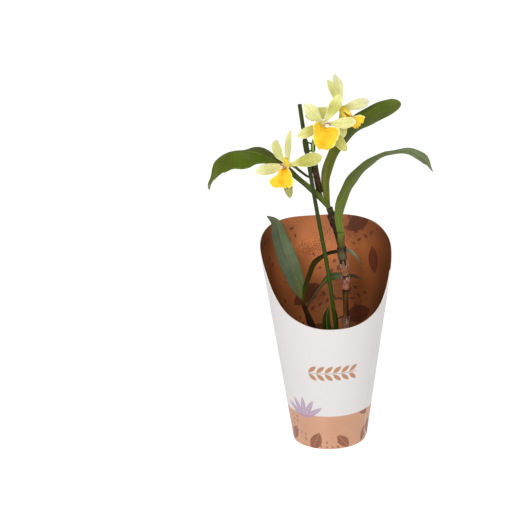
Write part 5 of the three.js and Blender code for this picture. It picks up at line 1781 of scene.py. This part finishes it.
BLOOMS = (
    Bloom("left", (-43.7, -24, 350), (-0.587, -0.798, 0.135), (0.236, -0.009, 0.972),
          {"dorsal_sepal": Tepal(-6.7, 4.2, 41.7, (0, 12, 18, 18), heart="#ccc98a"),
           "petal_a": Tepal(-61.6, -15.1, 39.6, heart="#d2d184"),
           # petal_b and lateral_sepal_b are painted darker: painted shade, as they lie in shade.
           "petal_b": Tepal(58.3, -23.7, 42.3, heart="#b1b04e", tip="#c0be6c", late="#bcba60"),
           "lateral_sepal_a": Tepal(-118, 12, 42.4, heart="#ccc884", late="#d9d9a2", tip="#e6e7c6"),
           "lateral_sepal_b": Tepal(157, 2, 37.6, (0, -10, -15), "#92903f", "#94924a", "#93914a",
                                    breadth=1.35)},
          ((2.6, 3.6, 3.4, 7, 15.5, 16.5, 9), (8, 22.5, 21.5, 18, 16.5, 15, 9)),
          ((70, 75, 49, 34, 16, 8, 6), (120, 156, 143, 50, 16, 8, 6)), 10, 18, 1.0,
          ((-28, -8, 338), (-20.5, -4.6, 331.5), (-14.5, -1.5, 329.4)),
          lip_reach=(0, 3, 6, 2, 1, 1.5, 1.5), column_reach=1.42, cap="#eccba0", seed=2),
    Bloom("centre", (-0.2, -18, 397.2), (0.467, -0.884, -0.025), (0.332, 0.149, 0.932),
          {"dorsal_sepal": Tepal(3.5, 14, 41, heart="#bcbb60", tip="#d8d692", breadth=1.15),
           "petal_a": Tepal(-68.6, 8.8, 40.2, heart="#d3d28c", late="#dddda4", tip="#e9e9c8",
                            breadth=0.97),
           "petal_b": Tepal(70.9, 4.3, 40.2, heart="#dedb92", tip="#f0edc4", breadth=0.88),
           "lateral_sepal_a": Tepal(-125.2, 6, 38.8, heart="#cccb76"),
           "lateral_sepal_b": Tepal(121.2, 6, 44.1, heart="#b7b452", tip="#c4c26c", late="#bbb95e")},
          ((2.6, 12, 16.6, 15.4, 13, 9.6, 2.8), (2.2, 4.6, 14, 14.6, 12.4, 10, 6)),
          ((70, 75, 49, 30, 16, 8, 6), (70, 60, 44, 30, 16, 8, 6)), -12, 8, 1.12,
          ((-8.6, -4.5, 396.6), (-8.4, -4.2, 394.5), (-7.6, -4.5, 392.4)),
          lip_reach=(0, 2, 5, 3, 1.5, 0.6, -0.6), column_girth=1.22, seed=3),
    Bloom("back", (19.5, 12, 408.5), (0.647, -0.74, 0.187), (-0.529, -0.258, 0.808),
          {"dorsal_sepal": Tepal(7, 7.5, 41.2, breadth=0.86),
           "petal_a": Tepal(-59.1, -22, 44.5),
           # petal_b is painted paler: painted light over the shade it lies in.
           "petal_b": Tepal(44.3, -14.8, 41.5, heart="#e8e7a4", late="#e8e7b0", tip="#f2f1d0",
                            breadth=0.9),
           "lateral_sepal_a": Tepal(-131.5, 10, 35.4),
           "lateral_sepal_b": Tepal(122.6, 5, 42.6, heart="#ebeab0", late="#eeedc0", tip="#f3f2dc")},
          ((6, 13, 12.6, 9.5, 3, 3, 3), (6, 14, 14, 9, 9.5, 13, 9.5)),
          ((160, 182, 180, 150, 26, 8, 6), (155, 178, 176, 140, 24, 10, 8)), -33, 3.8, 1.16,
          ((8, 22, 401), (1, 12, 394), (-5.9, -3.0, 389.6)), lip_reach=(0, 2, 4, 5.9, 4, 5.4, 4.5),
          column_reach=0.7, cap="#f2c83c", blush=0.25, seed=8),
)


# ---- studio ----


@dataclass
class Studio:
    """Pale floor, soft lights and the camera.

    Attributes:
        lens: focal length in millimetres.
        sensor: sensor width in millimetres.
        picture: width of the picture in pixels.
        place: where the camera stands, in metres.
        tilt: degrees it looks down.
        roll: degrees it is rolled.
        aim: a point of the plant, in metres.
        aim_pixel: the pixel at which that point lands.
    """

    lens: float = 109.0
    sensor: float = 36.0
    picture: int = 524
    place: Point = (0.0, -1.8090, 0.8058)
    tilt: float = 17.8
    roll: float = -0.95
    aim: Point = (0.0, 0.0, 0.225)
    aim_pixel: tuple[float, float] = (326.7, 261.3)

    LIGHT_AIM = (0, 0, 0.22)
    FLOOR_REACH = 9000.0
    SURROUNDINGS = 0.42  # strength of the white light from all round

    def build_camera(self) -> None:
        """Build the camera and turn it until the aim point lands on its pixel."""
        reach = self.lens / self.sensor * self.picture
        middle = self.picture / 2
        look = Vector((0, math.cos(math.radians(self.tilt)), -math.sin(math.radians(self.tilt))))
        right = Vector((1, 0, 0))
        turn = Matrix((right, right.cross(look), -look)).transposed()
        turn = turn @ Matrix.Rotation(math.atan((self.aim_pixel[0] - middle) / reach), 3, "Y")
        turn = turn @ Matrix.Rotation(math.radians(self.roll), 3, "Z")
        for _ in range(5):
            seen = turn.transposed() @ (Vector(self.aim) - Vector(self.place))
            u = middle - reach * seen.x / seen.z
            v = middle + reach * seen.y / seen.z
            turn = turn @ Matrix.Rotation(math.atan((self.aim_pixel[0] - u) / reach), 3, "Y")
            turn = turn @ Matrix.Rotation(math.atan((self.aim_pixel[1] - v) / reach), 3, "X")
        lens = bpy.data.cameras.new("camera")
        lens.lens = self.lens
        lens.sensor_width = self.sensor
        camera = bpy.data.objects.new("camera", lens)
        camera.matrix_world = Matrix.Translation(self.place) @ turn.to_4x4()
        bpy.context.scene.collection.objects.link(camera)
        bpy.context.scene.camera = camera

    def build_light(self, name: str, place: Point, size: float, power: float) -> None:
        """Build one soft square light that looks at the plant."""
        lamp = bpy.data.lights.new(name, "AREA")
        lamp.size = size
        lamp.energy = power
        light = bpy.data.objects.new(name, lamp)
        light.location = place
        aim = Vector(self.LIGHT_AIM) - Vector(place)
        light.rotation_euler = aim.to_track_quat("-Z", "Y").to_euler()
        bpy.context.scene.collection.objects.link(light)

    def build_floor(self) -> None:
        """Build the floor and the white surroundings."""
        rim = np.array([(-1, -1, 0), (1, -1, 0), (1, 1, 0), (-1, 1, 0)]) * self.FLOOR_REACH
        floor = Shape(rim, [(0, 1, 2, 3)]).make("floor")
        floor.data.materials.append(PaleFloor().material())
        world = bpy.data.worlds.new("studio")
        world.use_nodes = True
        white = world.node_tree.nodes["Background"].inputs
        white["Color"].default_value = (1, 1, 1, 1)
        white["Strength"].default_value = self.SURROUNDINGS
        bpy.context.scene.world = world
        bpy.context.scene.view_settings.view_transform = "Standard"

    def build(self) -> None:
        """Build the studio."""
        self.build_camera()
        self.build_light("key", (-0.5, -1.7, 1.2), 0.9, 21.5)
        self.build_light("fill", (1.4, -1.0, 1.1), 1.2, 4.5)
        self.build_floor()


def corners(box: tuple[Vector, Vector]) -> list[list[float]]:
    """A box's lowest and highest corners as plain lists."""
    return [list(corner) for corner in box]


def main() -> None:
    """Build the plant's looks piece by piece."""
    logging.basicConfig(level=logging.INFO, format="%(name)s: %(message)s")
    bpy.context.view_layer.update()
    CartonSleeve().build()
    build_base()
    pot = GrowPot()
    pot.build()
    pot.build_bark()
    build_stems()
    build_rhizome()
    build_sheaths()
    StemClip().build()
    build_leaves()
    for bloom in BLOOMS:
        bloom.build()
    Studio().build()


if __name__ == "__main__":
    main()
